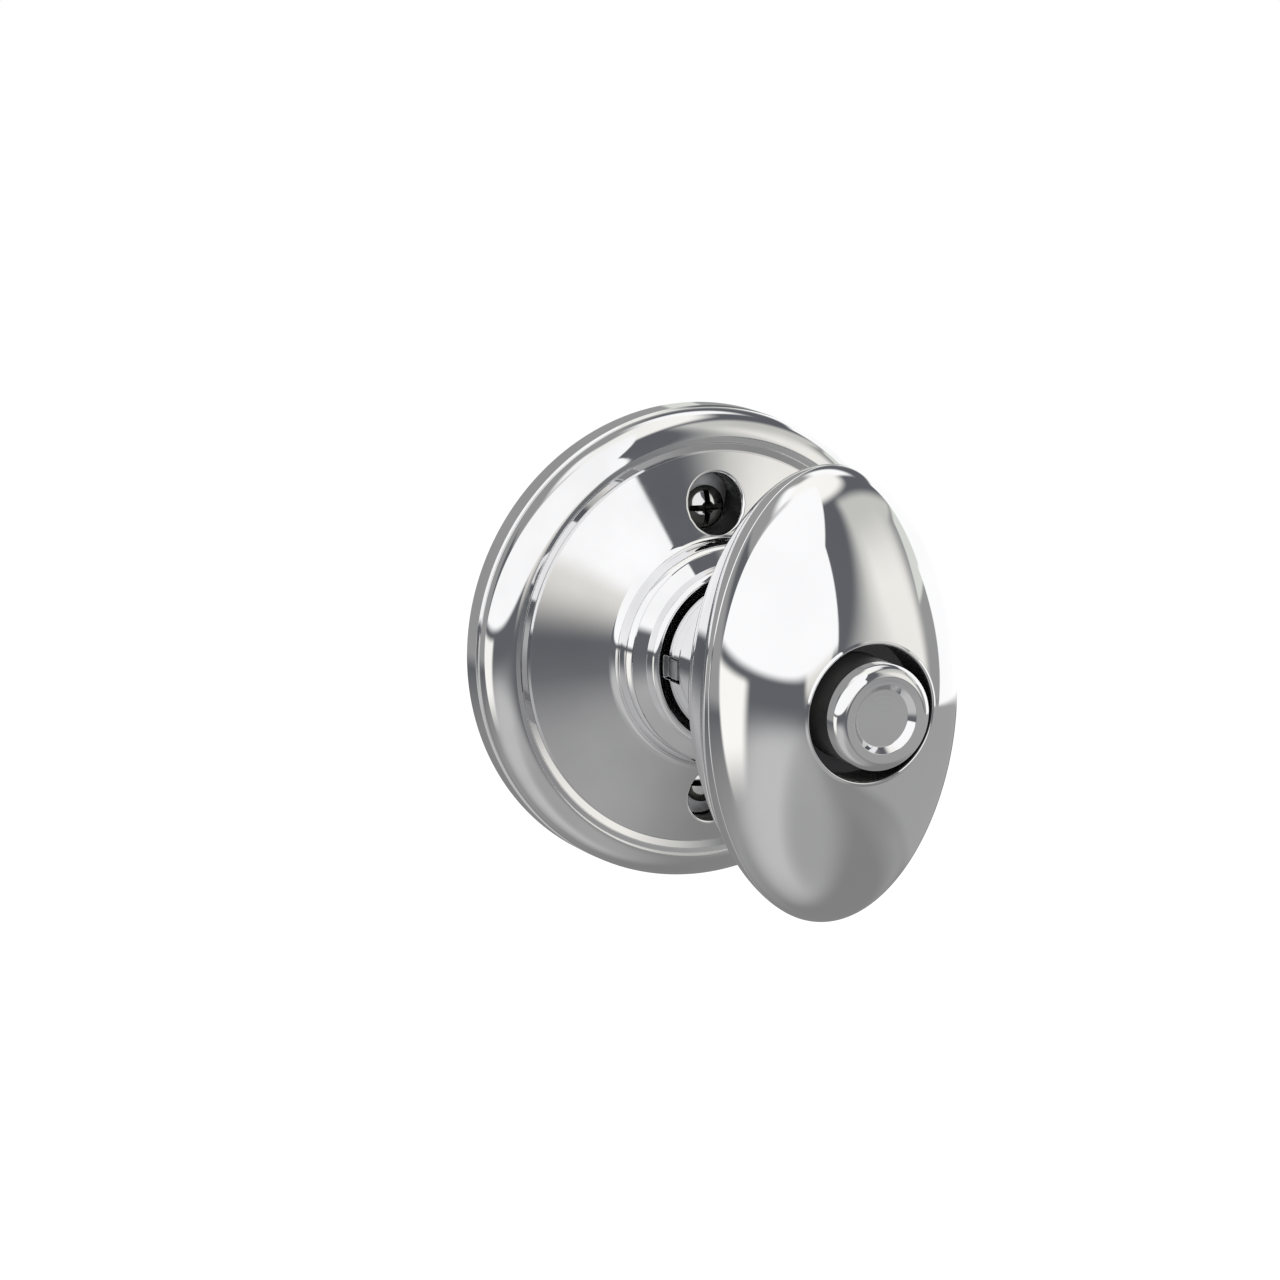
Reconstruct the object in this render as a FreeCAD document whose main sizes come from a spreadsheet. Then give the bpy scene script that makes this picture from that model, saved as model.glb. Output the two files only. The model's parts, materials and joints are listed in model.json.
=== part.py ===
import FreeCAD, Part
import math
import os
import Sketcher

# Interior half of a push-button privacy knob set, standing off the face of a door.
# The door face is the plane Y = 0. The knob points to -Y, the screws point to +Y and +Z is up.
# The origin is on the knob's axis. A depth is a distance in front of the door face, so depth = -Y.

doc = FreeCAD.newDocument("privacy_knob")
sheet = doc.addObject("Spreadsheet::Sheet", "Sizes")

# Driving dimensions in millimetres and degrees
DIMENSIONS = {
    # Gaps
    "running_gap": 0.08,
    "fixed_gap": 0.04,
    "end_gap": 0.1,
    "cut_over": 1.0,
    "edge_chamfer": 0.4,
    # Rosette, from its rim to its middle
    "rose_radius": 32.54,
    "rose_wall": 1.0,
    "rim_height": 3.2,
    "rim_draft": 0.08,
    "rim_edge": 0.25,
    "bead_radius": 3.8,
    "bead_inset": 0.17,
    "bead_rise": 1.18,
    "bead_crest_step": 0.28,
    "quirk_width": 2.1,
    "quirk_slope": 0.2,
    "quirk_depth": 0.36,
    "quirk_ridge_place": 0.85,
    "quirk_ridge_edge": 0.1,
    "quirk_ridge_height": 0.2,
    "face_set_back": 0.3,
    "face_rise": 1.82,
    "cove_radius": 3.5,
    "collar_step": 0.2,
    "collar_draft": 0.15,
    "ledge_rise": 0.6,
    "lip_wall": 1.08,
    "lip_height": 2.0,
    "lip_draft": 0.1,
    "lip_round": 0.8,
    "neck_gap": 0.62,
    # Fixing screws and the holes that they are reached through
    "screw_spacing": 38.1,
    "screw_offset": 0.95,
    "screw_radius": 2.05,
    "screw_neck_radius": 1.82,
    "screw_reach": 36.0,
    "screw_point": 1.2,
    "screw_tip_radius": 1.2,
    "screw_clearance": 0.25,
    "head_radius": 2.95,
    "head_edge": 0.9,
    "head_height": 2.2,
    "access_gap": 1.35,
    "access_wall": 0.8,
    # Mounting plate
    "plate_thick": 1.5,
    "plate_clearance": 0.1,
    "plate_rim_height": 2.8,
    "plate_rim_wall": 1.05,
    "plate_eye_wall": 1.2,
    "plate_eye_height": 0.6,
    "seat_depth": 4.6,
    "seat_margin": 1.75,
    "seat_wall": 1.0,
    "seat_gap": 0.25,
    # Spring cage and its rivets
    "cage_gap": 0.35,
    "cage_wall": 1.0,
    "cage_depth": 9.0,
    "ear_width": 8.0,
    "ear_margin": 2.8,
    "rivet_offset": 3.1,
    "rivet_radius": 1.2,
    "rivet_head_radius": 2.1,
    "rivet_head_height": 0.8,
    # Return spring
    "spring_wire": 0.9,
    "spring_coil_gap": 1.5,
    "spring_foot_gap": 0.3,
    "spring_turns": 2.5,
    # Turning hub and what it carries
    "hub_set_back": 1.5,
    "hub_cone": 1.2,
    "hub_shoulder": 2.0,
    "hub_tail_reach": 3.6,
    "socket_radius": 4.6,
    "socket_flat": 3.4,
    "socket_length": 11.6,
    "socket_step": 1.0,
    "ring_thick": 0.9,
    "ring_reach": 1.7,
    "ring_groove": 0.5,
    "ring_mouth": 3.2,
    "washer_thick": 0.5,
    "driver_thick": 1.2,
    "arm_width": 3.6,
    "arm_clearance": 0.3,
    "turn_limit": 60.0,
    "stop_margin": 3.0,
    "stop_width": 2.0,
    "stop_reach": 1.0,
    "stop_gap": 0.4,
    # Knob shank and its bearing
    "shank_radius": 11.0,
    "shank_wall": 1.36,
    "shank_rear_gap": 0.6,
    "shank_lip_width": 1.6,
    "shank_lip_thick": 1.0,
    "bush_clearance": 0.2,
    "bush_chamfer": 0.8,
    # Knob
    "knob_width": 34.0,
    "knob_height": 59.0,
    "knob_rear_depth": 28.5,
    "knob_back_length": 12.1,
    "knob_front_length": 10.7,
    "knob_dome_lead": 2.7,
    "knob_wall": 1.1,
    "rear_land_width": 0.9,
    "rear_inner_gap": 0.2,
    "nose_land_width": 0.86,
    "nose_lip": 0.3,
    "nose_collar_wall": 0.8,
    "nose_collar_length": 6.8,
    # Push button and the cup that it slides in
    "button_radius": 6.7,
    "button_stand": 3.6,
    "button_length": 9.9,
    "button_wall": 1.1,
    "button_edge_round": 1.4,
    "button_ring_width": 2.35,
    "button_recess_taper": 0.75,
    "button_recess_depth": 0.8,
    "button_travel": 3.5,
    "button_boss_wall": 1.2,
    "guide_wall": 1.82,
    "guide_floor": 1.2,
    "guide_set_back": 5.3,
    "guide_length": 6.0,
    "button_spring_wire": 0.6,
    "button_spring_turns": 5.0,
    # Stem, its clips and the locking bar
    "stem_radius": 2.0,
    "stem_seat_drop": 2.9,
    "stem_socket_depth": 2.0,
    "stem_groove": 0.35,
    "stem_clip_thick": 0.7,
    "stem_clip_width": 2.0,
    "detent_wire": 0.8,
    "detent_width": 1.52,
    "clip_mouth": 2.8,
    "bar_width": 4.4,
    "bar_thick": 1.6,
    "bar_rear": 18.0,
    "bar_seat": 2.0,
    "bar_grip": 2.8,
    # Spool in the hub
    "spool_wall": 1.32,
    "spool_flange": 1.4,
    "spool_gap": 0.4,
    "spool_set_back": 1.0,
    # Knob catch and its leaf spring
    "catch_length": 3.2,
    "catch_height": 2.6,
    "catch_gap": 0.2,
    "catch_travel": 1.6,
    "catch_set_back": 0.4,
    "catch_chamfer": 0.8,
    "catch_base_thick": 1.0,
    "catch_base_spread": 1.1,
    "catch_base_room": 1.0,
    "catch_slot_stand": 4.2,
    "catch_slot_length": 4.8,
    "catch_slot_gap": 0.3,
    "leaf_thick": 0.35,
    "leaf_room": 0.25,
    "leaf_length": 4.0,
    "leaf_foot": 0.6,
    "leaf_gap": 0.05,
    "leaf_side_gap": 0.2,
}

# How many steps the knob's curved sides are drawn through
OUTER_STEPS = 7
INNER_STEPS = 5


class Size:
    """A length that remembers the sheet expression it comes from."""

    def __init__(self, value, text):
        self.value = float(value)
        self.text = text

    def __add__(self, other):
        other = size(other)
        return Size(self.value + other.value, f"({self.text} + {other.text})")

    def __sub__(self, other):
        other = size(other)
        return Size(self.value - other.value, f"({self.text} - {other.text})")

    def __mul__(self, other):
        other = size(other)
        return Size(self.value * other.value, f"{self.text} * {other.text}")

    def __truediv__(self, other):
        other = size(other)
        return Size(self.value / other.value, f"{self.text} / ({other.text})")

    def __neg__(self):
        return Size(-self.value, f"(-1 * {self.text})")

    __radd__ = __add__
    __rmul__ = __mul__

    def __rsub__(self, other):
        return size(other) - self


def size(number):
    """A plain number as a Size, and a Size as it is."""
    if isinstance(number, Size):
        return number
    return Size(number, f"{float(number):.6f}")


def root(number):
    """The square root of a Size."""
    return Size(math.sqrt(number.value), f"sqrt({number.text})")


def other_leg(long_side, leg):
    """The second leg of a right triangle, given its longest side and the first leg."""
    return root(long_side * long_side - leg * leg)


def degrees_across(half_width, radius):
    """The angle that a half width takes up at a radius."""
    angle = math.degrees(math.asin(half_width.value / radius.value))
    return Size(angle, f"(asin({half_width.text} / ({radius.text})) / 1 deg)")


class Sheet:
    """The driving dimensions by name, each as a Size bound to its cell."""

    def __init__(self, dimensions):
        for row, (name, value) in enumerate(dimensions.items(), start=1):
            sheet.set(f"A{row}", name)
            sheet.set(f"B{row}", str(value))
            sheet.setAlias(f"B{row}", name)
            setattr(self, name, Size(value, f"Sizes.{name}"))


d = Sheet(DIMENSIONS)
doc.recompute()

# Radii, and the places of the screws and rivets
SHANK_BORE = d.shank_radius - d.shank_wall
SHANK_LIP_RADIUS = d.shank_radius + d.shank_lip_width
HUB_RADIUS = SHANK_BORE - d.fixed_gap
HUB_RUN = HUB_RADIUS + d.running_gap
HUB_TAIL_RADIUS = HUB_RADIUS - d.hub_shoulder
TAIL_RUN = HUB_TAIL_RADIUS + d.running_gap
ROSE_BORE = d.shank_radius + d.neck_gap
LIP_RADIUS = ROSE_BORE + d.lip_wall
SCREW_Z = d.screw_spacing / 2
ACCESS_RADIUS = d.head_radius + d.access_gap
ACCESS_WALL_RADIUS = ACCESS_RADIUS + d.access_wall
COVE_CENTRE_RADIUS = SCREW_Z - d.screw_offset
COLLAR_RADIUS = COVE_CENTRE_RADIUS - d.cove_radius
BUSH_RADIUS = COLLAR_RADIUS - d.rose_wall - d.bush_clearance
BEAD_CENTRE_RADIUS = d.rose_radius - d.bead_radius - d.bead_inset
BEAD_HOLLOW = d.bead_radius - d.rose_wall
BEAD_EDGE_RADIUS = BEAD_CENTRE_RADIUS + d.bead_crest_step
FACE_OUTER_RADIUS = BEAD_EDGE_RADIUS - d.quirk_width
RIM_BORE = BEAD_CENTRE_RADIUS + BEAD_HOLLOW
CAGE_RADIUS = SCREW_Z - ACCESS_WALL_RADIUS - d.cage_gap
CAGE_BORE = CAGE_RADIUS - d.cage_wall
STOP_END = CAGE_BORE - d.stop_reach
STOP_RUN = STOP_END - d.stop_gap
RIVET_X = CAGE_RADIUS + d.rivet_offset
STEM_BORE = d.stem_radius + d.running_gap
BUTTON_BORE = d.button_radius + d.running_gap
GUIDE_RADIUS = BUTTON_BORE + d.guide_wall
NOSE_BORE = GUIDE_RADIUS + d.fixed_gap
NOSE_LAND = NOSE_BORE + d.nose_land_width
SPOOL_TUBE = STEM_BORE + d.spool_wall
CATCH_FACE = SPOOL_TUBE + d.leaf_thick + d.catch_travel + d.leaf_room
CATCH_BASE_FRONT = CATCH_FACE + d.catch_base_thick
CATCH_TIP = d.shank_radius - d.catch_set_back
HUB_BORE = CATCH_BASE_FRONT + d.catch_base_room

# Depths of the rosette
BEAD_CENTRE_DEPTH = d.rim_height + d.bead_rise
FACE_OUTER_DEPTH = BEAD_CENTRE_DEPTH + d.bead_radius - d.face_set_back
FACE_INNER_DEPTH = FACE_OUTER_DEPTH + d.face_rise
QUIRK_FLOOR = FACE_OUTER_DEPTH - d.quirk_depth
COVE_CENTRE_DEPTH = FACE_INNER_DEPTH + d.cove_radius
COLLAR_DEPTH = COVE_CENTRE_DEPTH + d.collar_step
LEDGE_BACK = COLLAR_DEPTH - d.rose_wall
LIP_DEPTH = COLLAR_DEPTH + d.ledge_rise + d.lip_height

# Depths in the cage
LID_BACK = d.cage_depth - d.cage_wall
WASHER_BACK = LID_BACK - d.end_gap - d.washer_thick
DRIVER_BACK = WASHER_BACK - d.end_gap - d.driver_thick
DRIVER_FRONT = DRIVER_BACK + d.driver_thick

# Depths of the knob, the button and what is inside them
SHANK_REAR = d.cage_depth + d.shank_rear_gap
KNOB_RIM = d.knob_rear_depth + d.knob_back_length
KNOB_NOSE = KNOB_RIM + d.knob_front_length
HUB_FRONT = d.knob_rear_depth - d.hub_set_back
SOCKET_END = d.socket_length - d.hub_tail_reach
GUIDE_FRONT = KNOB_NOSE - d.guide_set_back
GUIDE_REAR = GUIDE_FRONT - d.guide_length
GUIDE_FLOOR_TOP = GUIDE_REAR + d.guide_floor
BUTTON_FACE = KNOB_NOSE + d.button_stand
RECESS_FLOOR = BUTTON_FACE - d.button_recess_depth
BUTTON_CEILING = RECESS_FLOOR - d.button_wall
STEM_SEAT = BUTTON_FACE - d.stem_seat_drop
CLIP_FRONT = GUIDE_REAR - d.end_gap
CLIP_REAR = CLIP_FRONT - d.stem_clip_thick
BAR_FRONT = SOCKET_END + d.bar_seat
STEM_REAR = BAR_FRONT - d.bar_grip
SPOOL_REAR = BAR_FRONT + d.spool_gap
SPOOL_FRONT = HUB_FRONT - d.spool_set_back
CATCH_SLOT_FRONT = LIP_DEPTH + d.catch_slot_stand
CATCH_SLOT_REAR = CATCH_SLOT_FRONT - d.catch_slot_length
CATCH_MIDDLE = CATCH_SLOT_REAR + d.catch_gap + d.catch_length / 2


def bind(thing, path, number):
    """Ties a property or a constraint of thing to a Size."""
    thing.setExpression(path, size(number).text)


def origin_plane(body, role):
    for feature in body.Origin.OriginFeatures:
        if feature.Role == role:
            return feature
    raise ValueError(role)


def new_body(name):
    body = doc.addObject("PartDesign::Body", name)
    body.Label = name
    return body


def new_sketch(body, name, plane):
    sketch = body.newObject("Sketcher::SketchObject", name)
    sketch.AttachmentSupport = [(origin_plane(body, plane), "")]
    sketch.MapMode = "FlatFace"
    return sketch


def section_sketch(body, name):
    """A sketch on the XY plane whose axes are the radius and the depth."""
    sketch = new_sketch(body, name, "XY_Plane")
    turn_over = FreeCAD.Rotation(FreeCAD.Vector(1, 0, 0), 180)
    sketch.AttachmentOffset = FreeCAD.Placement(FreeCAD.Vector(0, 0, 0), turn_over)
    return sketch


def face_sketch(body, name, depth):
    """A sketch across the knob's axis at a depth, with the axes X and Z, facing the room."""
    sketch = new_sketch(body, name, "XZ_Plane")
    bind(sketch, "AttachmentOffset.Base.z", depth)
    return sketch


def side_sketch(body, name):
    """A sketch on the plane X = 0, with the axes Y and Z, facing +X."""
    return new_sketch(body, name, "YZ_Plane")


def place_vertex(sketch, edge, end, point):
    """Ties one end of an edge to its two coordinates."""
    for kind, axis, coordinate in (("DistanceX", -2, point[0]), ("DistanceY", -1, point[1])):
        coordinate = size(coordinate)
        if coordinate.value == 0:
            sketch.addConstraint(Sketcher.Constraint("PointOnObject", edge, end, axis))
        else:
            index = sketch.addConstraint(
                Sketcher.Constraint(kind, -1, 1, edge, end, coordinate.value))
            bind(sketch, f"Constraints[{index}]", coordinate)


def arc_through(start, end, radius):
    """The arc from start to end; a positive radius has its centre on the left of the way there."""
    chord = end - start
    reach = abs(radius) ** 2 - (chord.Length / 2) ** 2
    left = FreeCAD.Vector(-chord.y, chord.x, 0).normalize()
    centre = (start + end) / 2 + left * math.copysign(math.sqrt(max(reach, 0)), radius)
    angles = [math.atan2(p.y - centre.y, p.x - centre.x) for p in (start, end)]
    whole = Part.Circle(centre, FreeCAD.Vector(0, 0, 1), abs(radius))
    if radius > 0:
        return Part.ArcOfCircle(whole, angles[0], angles[1]), 1, 2
    return Part.ArcOfCircle(whole, angles[1], angles[0]), 2, 1


def outline(sketch, *steps):
    """A closed outline of (x, y) corners. A Size or number between two corners is an arc's radius."""
    corners, bends = [], {}
    for step in steps:
        if isinstance(step, tuple):
            corners.append(step)
        else:
            bends[len(corners) - 1] = size(step)
    spots = [FreeCAD.Vector(size(x).value, size(y).value, 0) for x, y in corners]
    edges = []
    for i, corner in enumerate(corners):
        start, end = spots[i], spots[(i + 1) % len(spots)]
        if i in bends:
            curve, first, last = arc_through(start, end, bends[i].value)
        else:
            curve, first, last = Part.LineSegment(start, end), 1, 2
        edge = sketch.addGeometry(curve, False)
        edges.append((edge, first, last))
        place_vertex(sketch, edge, first, corner)
    for i, (edge, _, last) in enumerate(edges):
        following, first, _ = edges[(i + 1) % len(edges)]
        sketch.addConstraint(Sketcher.Constraint("Coincident", edge, last, following, first))
    for i, bend in bends.items():
        radius = Size(abs(bend.value), f"abs({bend.text})")
        index = sketch.addConstraint(Sketcher.Constraint("Radius", edges[i][0], radius.value))
        bind(sketch, f"Constraints[{index}]", radius)


def circle(sketch, x, y, radius):
    """A circle tied to its centre and radius."""
    centre = FreeCAD.Vector(size(x).value, size(y).value, 0)
    normal = FreeCAD.Vector(0, 0, 1)
    edge = sketch.addGeometry(Part.Circle(centre, normal, size(radius).value), False)
    place_vertex(sketch, edge, 3, (x, y))
    index = sketch.addConstraint(Sketcher.Constraint("Radius", edge, size(radius).value))
    bind(sketch, f"Constraints[{index}]", radius)


def rectangle(sketch, x_low, y_low, x_high, y_high):
    outline(sketch, (x_low, y_low), (x_high, y_low), (x_high, y_high), (x_low, y_high))


def turned(name, *steps):
    """A body turned about the knob's axis from an outline of (radius, depth) corners."""
    body = new_body(name)
    sketch = section_sketch(body, name + "_section")
    outline(sketch, *steps)
    lathe = body.newObject("PartDesign::Revolution", name + "_turned")
    lathe.Profile = sketch
    lathe.ReferenceAxis = (sketch, ["V_Axis"])
    lathe.Angle = 360
    body.Tip = lathe
    return body


def extrude(body, kind, sketch, name, length):
    feature = body.newObject(kind, name)
    feature.Profile = sketch
    bind(feature, "Length", length)
    body.Tip = feature
    return feature


def pad(body, sketch, name, length):
    """Adds the sketch's outline, towards the sketch's normal."""
    return extrude(body, "PartDesign::Pad", sketch, name, length)


def pocket(body, sketch, name, length):
    """Cuts the sketch's outline, towards the sketch's normal."""
    cut = extrude(body, "PartDesign::Pocket", sketch, name, length)
    cut.Reversed = True
    return cut


def boolean(kind, name, base, tool):
    result = doc.addObject(kind, name)
    result.Base = base
    result.Tool = tool
    result.Label = name
    return result


def axial_cylinder(name, x, z, radius, rear, length):
    """A cylinder along the knob's axis at a place (x, z), from a rear depth towards the room."""
    bar = doc.addObject("Part::Cylinder", name)
    bind(bar, "Radius", radius)
    bind(bar, "Height", length)
    bar.Placement = FreeCAD.Placement(
        FreeCAD.Vector(0, 0, 0), FreeCAD.Rotation(FreeCAD.Vector(1, 0, 0), 90))
    bind(bar, "Placement.Base.x", x)
    bind(bar, "Placement.Base.y", -size(rear))
    bind(bar, "Placement.Base.z", z)
    return bar


def open_clip(name, inner, outer, rear, thick, mouth):
    """A flat ring with a mouth that opens downwards."""
    body = turned(
        name,
        (inner, rear),
        (outer, rear),
        (outer, rear + thick),
        (inner, rear + thick),
    )
    gap = face_sketch(body, name + "_mouth_outline", rear - d.cut_over)
    rectangle(gap, -mouth / 2, -(outer + d.cut_over), mouth / 2, 0)
    pocket(body, gap, name + "_mouth", thick + d.cut_over * 2)
    return body


def coil(name, coil_radius, wire, turns, rear, length):
    """A round-wire spring wound about the knob's axis, given its rear depth and its length."""
    path = doc.addObject("Part::Helix", name + "_path")
    bind(path, "Pitch", (length - wire) / turns)
    bind(path, "Height", length - wire)
    bind(path, "Radius", coil_radius)
    path.SegmentLength = 1
    doc.recompute()
    section = doc.addObject("Part::Circle", name + "_wire")
    bind(section, "Radius", wire / 2)
    forward = FreeCAD.Rotation(FreeCAD.Vector(1, 0, 0), 90)
    section.Placement = FreeCAD.Placement(FreeCAD.Vector(0, 0, 0), forward)
    bind(section, "Placement.Base.x", coil_radius)
    sweep = doc.addObject("Part::Sweep", name)
    sweep.Sections = [section]
    sweep.Spine = (path, [f"Edge{i + 1}" for i in range(len(path.Shape.Edges))])
    sweep.Solid = True
    sweep.Frenet = True
    sweep.Label = name
    sweep.Placement = FreeCAD.Placement(FreeCAD.Vector(0, 0, 0), forward)
    bind(sweep, "Placement.Base.y", -(rear + wire / 2))
    return sweep


def ellipse(name, wide, high, depth):
    """An ellipse across the knob's axis, given its half width and half height."""
    ring = doc.addObject("Part::Ellipse", name)
    bind(ring, "MajorRadius", high)
    bind(ring, "MinorRadius", wide)
    ring.Placement = FreeCAD.Placement(
        FreeCAD.Vector(0, 0, 0), FreeCAD.Rotation(FreeCAD.Vector(1, 1, 1), 240))
    bind(ring, "Placement.Base.y", -depth)
    return ring


def dome(name, inset, centre_depth, end_depth, land, steps):
    """A solid half of the knob: ellipses that shrink from the rim to a round land on the axis.
    The side follows an ellipse about centre_depth, which may lie behind the rim."""
    reach = end_depth - centre_depth
    start = (KNOB_RIM - centre_depth) / reach
    full = root(1 - start * start)
    first = math.asin(start.value)
    wide_rim = d.knob_width / 2 - inset
    high_rim = d.knob_height / 2 - inset
    sections = [ellipse(f"{name}_rim", wide_rim, high_rim, KNOB_RIM)]
    for i in range(1, steps + 1):
        angle = first + (math.pi / 2 - first) * i / steps
        share = size(math.cos(angle)) / full
        wide = land + (wide_rim - land) * share
        high = land + (high_rim - land) * share
        sections.append(ellipse(f"{name}_{i}", wide, high, centre_depth + reach * math.sin(angle)))
    loft = doc.addObject("Part::Loft", name)
    loft.Sections = sections
    loft.Solid = True
    loft.Ruled = False
    return loft


def make_rosette_skin():
    """The outside of the rosette: rim, bead, quirk, conical face, cove, collar and rolled lip."""
    ridge = BEAD_EDGE_RADIUS - d.quirk_ridge_place
    return turned(
        "rosette_skin",
        (0, 0),
        (d.rose_radius, 0),
        (d.rose_radius - d.rim_draft, d.rim_height - d.rim_edge),
        (BEAD_CENTRE_RADIUS + other_leg(d.bead_radius, d.bead_rise), d.rim_height),
        d.bead_radius,
        (BEAD_EDGE_RADIUS, BEAD_CENTRE_DEPTH + other_leg(d.bead_radius, d.bead_crest_step)),
        (BEAD_EDGE_RADIUS - d.quirk_slope, QUIRK_FLOOR),
        (ridge, QUIRK_FLOOR),
        (ridge - d.quirk_ridge_edge, QUIRK_FLOOR + d.quirk_ridge_height),
        (FACE_OUTER_RADIUS + d.quirk_slope, QUIRK_FLOOR),
        (FACE_OUTER_RADIUS, FACE_OUTER_DEPTH),
        (COVE_CENTRE_RADIUS, FACE_INNER_DEPTH),
        -d.cove_radius,
        (COLLAR_RADIUS, COVE_CENTRE_DEPTH),
        (COLLAR_RADIUS - d.collar_draft, COLLAR_DEPTH),
        (LIP_RADIUS, COLLAR_DEPTH + d.ledge_rise),
        (LIP_RADIUS - d.lip_draft, LIP_DEPTH - d.lip_round),
        d.lip_round,
        (LIP_RADIUS - d.lip_draft - d.lip_round, LIP_DEPTH),
        (0, LIP_DEPTH),
    )


def make_rosette_hollow():
    """The space behind the rosette's wall, with the neck's bore."""
    floor = QUIRK_FLOOR - d.rose_wall
    cove_hollow = d.cove_radius + d.rose_wall
    return turned(
        "rosette_hollow",
        (0, -d.cut_over),
        (RIM_BORE, -d.cut_over),
        (RIM_BORE, BEAD_CENTRE_DEPTH),
        BEAD_HOLLOW,
        (BEAD_CENTRE_RADIUS + other_leg(BEAD_HOLLOW, floor - BEAD_CENTRE_DEPTH), floor),
        (FACE_OUTER_RADIUS - d.quirk_slope, floor),
        (COVE_CENTRE_RADIUS, FACE_INNER_DEPTH - d.rose_wall),
        -cove_hollow,
        (COVE_CENTRE_RADIUS - other_leg(cove_hollow, COVE_CENTRE_DEPTH - LEDGE_BACK), LEDGE_BACK),
        (ROSE_BORE, LEDGE_BACK + d.ledge_rise),
        (ROSE_BORE, LIP_DEPTH + d.cut_over),
        (0, LIP_DEPTH + d.cut_over),
    )


def make_rosette():
    """The formed trim plate, with a cupped hole over each fixing screw."""
    skin = make_rosette_skin()
    shell = boolean("Part::Cut", "rosette_shell", skin, make_rosette_hollow())
    cup_rear = d.seat_depth + d.seat_gap
    walls = doc.addObject("Part::MultiFuse", "access_walls")
    bores = doc.addObject("Part::MultiFuse", "access_bores")
    walls.Shapes = [
        axial_cylinder(f"access_wall_{side}", 0, z, ACCESS_WALL_RADIUS, cup_rear, LIP_DEPTH)
        for side, z in (("top", SCREW_Z), ("bottom", -SCREW_Z))]
    bores.Shapes = [
        axial_cylinder(f"access_bore_{side}", 0, z, ACCESS_RADIUS, 0, LIP_DEPTH)
        for side, z in (("top", SCREW_Z), ("bottom", -SCREW_Z))]
    cups = boolean("Part::Common", "access_cups", walls, skin)
    joined = boolean("Part::Fuse", "rosette_with_cups", shell, cups)
    return boolean("Part::Cut", "rosette", joined, bores)


def make_mounting_plate():
    """The pressed steel plate behind the rosette, with a raised seat for each screw head."""
    edge = RIM_BORE - d.plate_clearance
    eye = TAIL_RUN + d.plate_eye_wall
    body = turned(
        "mounting_plate",
        (TAIL_RUN, 0),
        (edge, 0),
        (edge, d.plate_rim_height),
        (edge - d.plate_rim_wall, d.plate_rim_height),
        (edge - d.plate_rim_wall, d.plate_thick),
        (eye, d.plate_thick),
        (eye, d.plate_thick + d.plate_eye_height),
        (TAIL_RUN, d.plate_thick + d.plate_eye_height),
    )
    seats = face_sketch(body, "seat_outline", 0)
    hollows = face_sketch(body, "seat_hollow_outline", 0)
    holes = face_sketch(body, "screw_hole_outline", 0)
    seat_radius = d.head_radius + d.seat_margin
    for z in (SCREW_Z, -SCREW_Z):
        circle(seats, 0, z, seat_radius)
        circle(hollows, 0, z, seat_radius - d.seat_wall)
        circle(holes, 0, z, d.screw_radius + d.screw_clearance)
    pad(body, seats, "seats", d.seat_depth)
    pocket(body, hollows, "seat_hollows", d.seat_depth - d.seat_wall)
    pocket(body, holes, "screw_holes", d.seat_depth + d.cut_over)
    rivet_holes = face_sketch(body, "rivet_hole_outline", 0)
    for x in (RIVET_X, -RIVET_X):
        circle(rivet_holes, x, 0, d.rivet_radius + d.fixed_gap)
    pocket(body, rivet_holes, "rivet_holes", d.plate_thick + d.cut_over)
    return body


def make_spring_cage():
    """The cup over the return spring, with two riveted ears and two inner stops."""
    body = turned(
        "spring_cage",
        (CAGE_BORE, d.plate_thick),
        (CAGE_RADIUS, d.plate_thick),
        (CAGE_RADIUS, d.cage_depth),
        (HUB_RUN, d.cage_depth),
        (HUB_RUN, LID_BACK),
        (CAGE_BORE, LID_BACK),
    )
    ears = face_sketch(body, "ear_outline", d.plate_thick)
    half = d.ear_width / 2
    inner = CAGE_BORE + d.cage_wall / 2
    reach = RIVET_X + d.ear_margin
    rectangle(ears, inner, -half, reach, half)
    rectangle(ears, -reach, -half, -inner, half)
    pad(body, ears, "ears", d.cage_wall)
    across = d.stop_width / 2
    stop_angle = (d.turn_limit + d.stop_margin
                  + degrees_across(d.arm_width / 2, STOP_END) + degrees_across(across, STOP_END))
    for side, angle in (("left", -stop_angle), ("right", stop_angle)):
        stop = face_sketch(body, f"stop_outline_{side}", DRIVER_BACK)
        bind(stop, "AttachmentOffset.Rotation.Angle", angle)
        rectangle(stop, -across, -inner, across, -STOP_END)
        pad(body, stop, f"stop_{side}", LID_BACK - DRIVER_BACK + d.cage_wall / 2)
    rivet_holes = face_sketch(body, "ear_hole_outline", d.plate_thick)
    for x in (RIVET_X, -RIVET_X):
        circle(rivet_holes, x, 0, d.rivet_radius + d.fixed_gap)
    pocket(body, rivet_holes, "ear_holes", d.cage_wall + d.cut_over)
    return body


def make_cage_rivets():
    """The rivets that hold the cage's ears to the mounting plate."""
    grip = d.plate_thick + d.cage_wall
    shapes = []
    for side, x in (("right", RIVET_X), ("left", -RIVET_X)):
        shaft = axial_cylinder(f"rivet_shaft_{side}", x, 0, d.rivet_radius, d.end_gap, grip)
        head = axial_cylinder(
            f"rivet_head_{side}", x, 0, d.rivet_head_radius, grip, d.rivet_head_height)
        shapes += [shaft, head]
    rivets = doc.addObject("Part::MultiFuse", "cage_rivets")
    rivets.Shapes = shapes
    rivets.Label = "cage_rivets"
    return rivets


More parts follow.
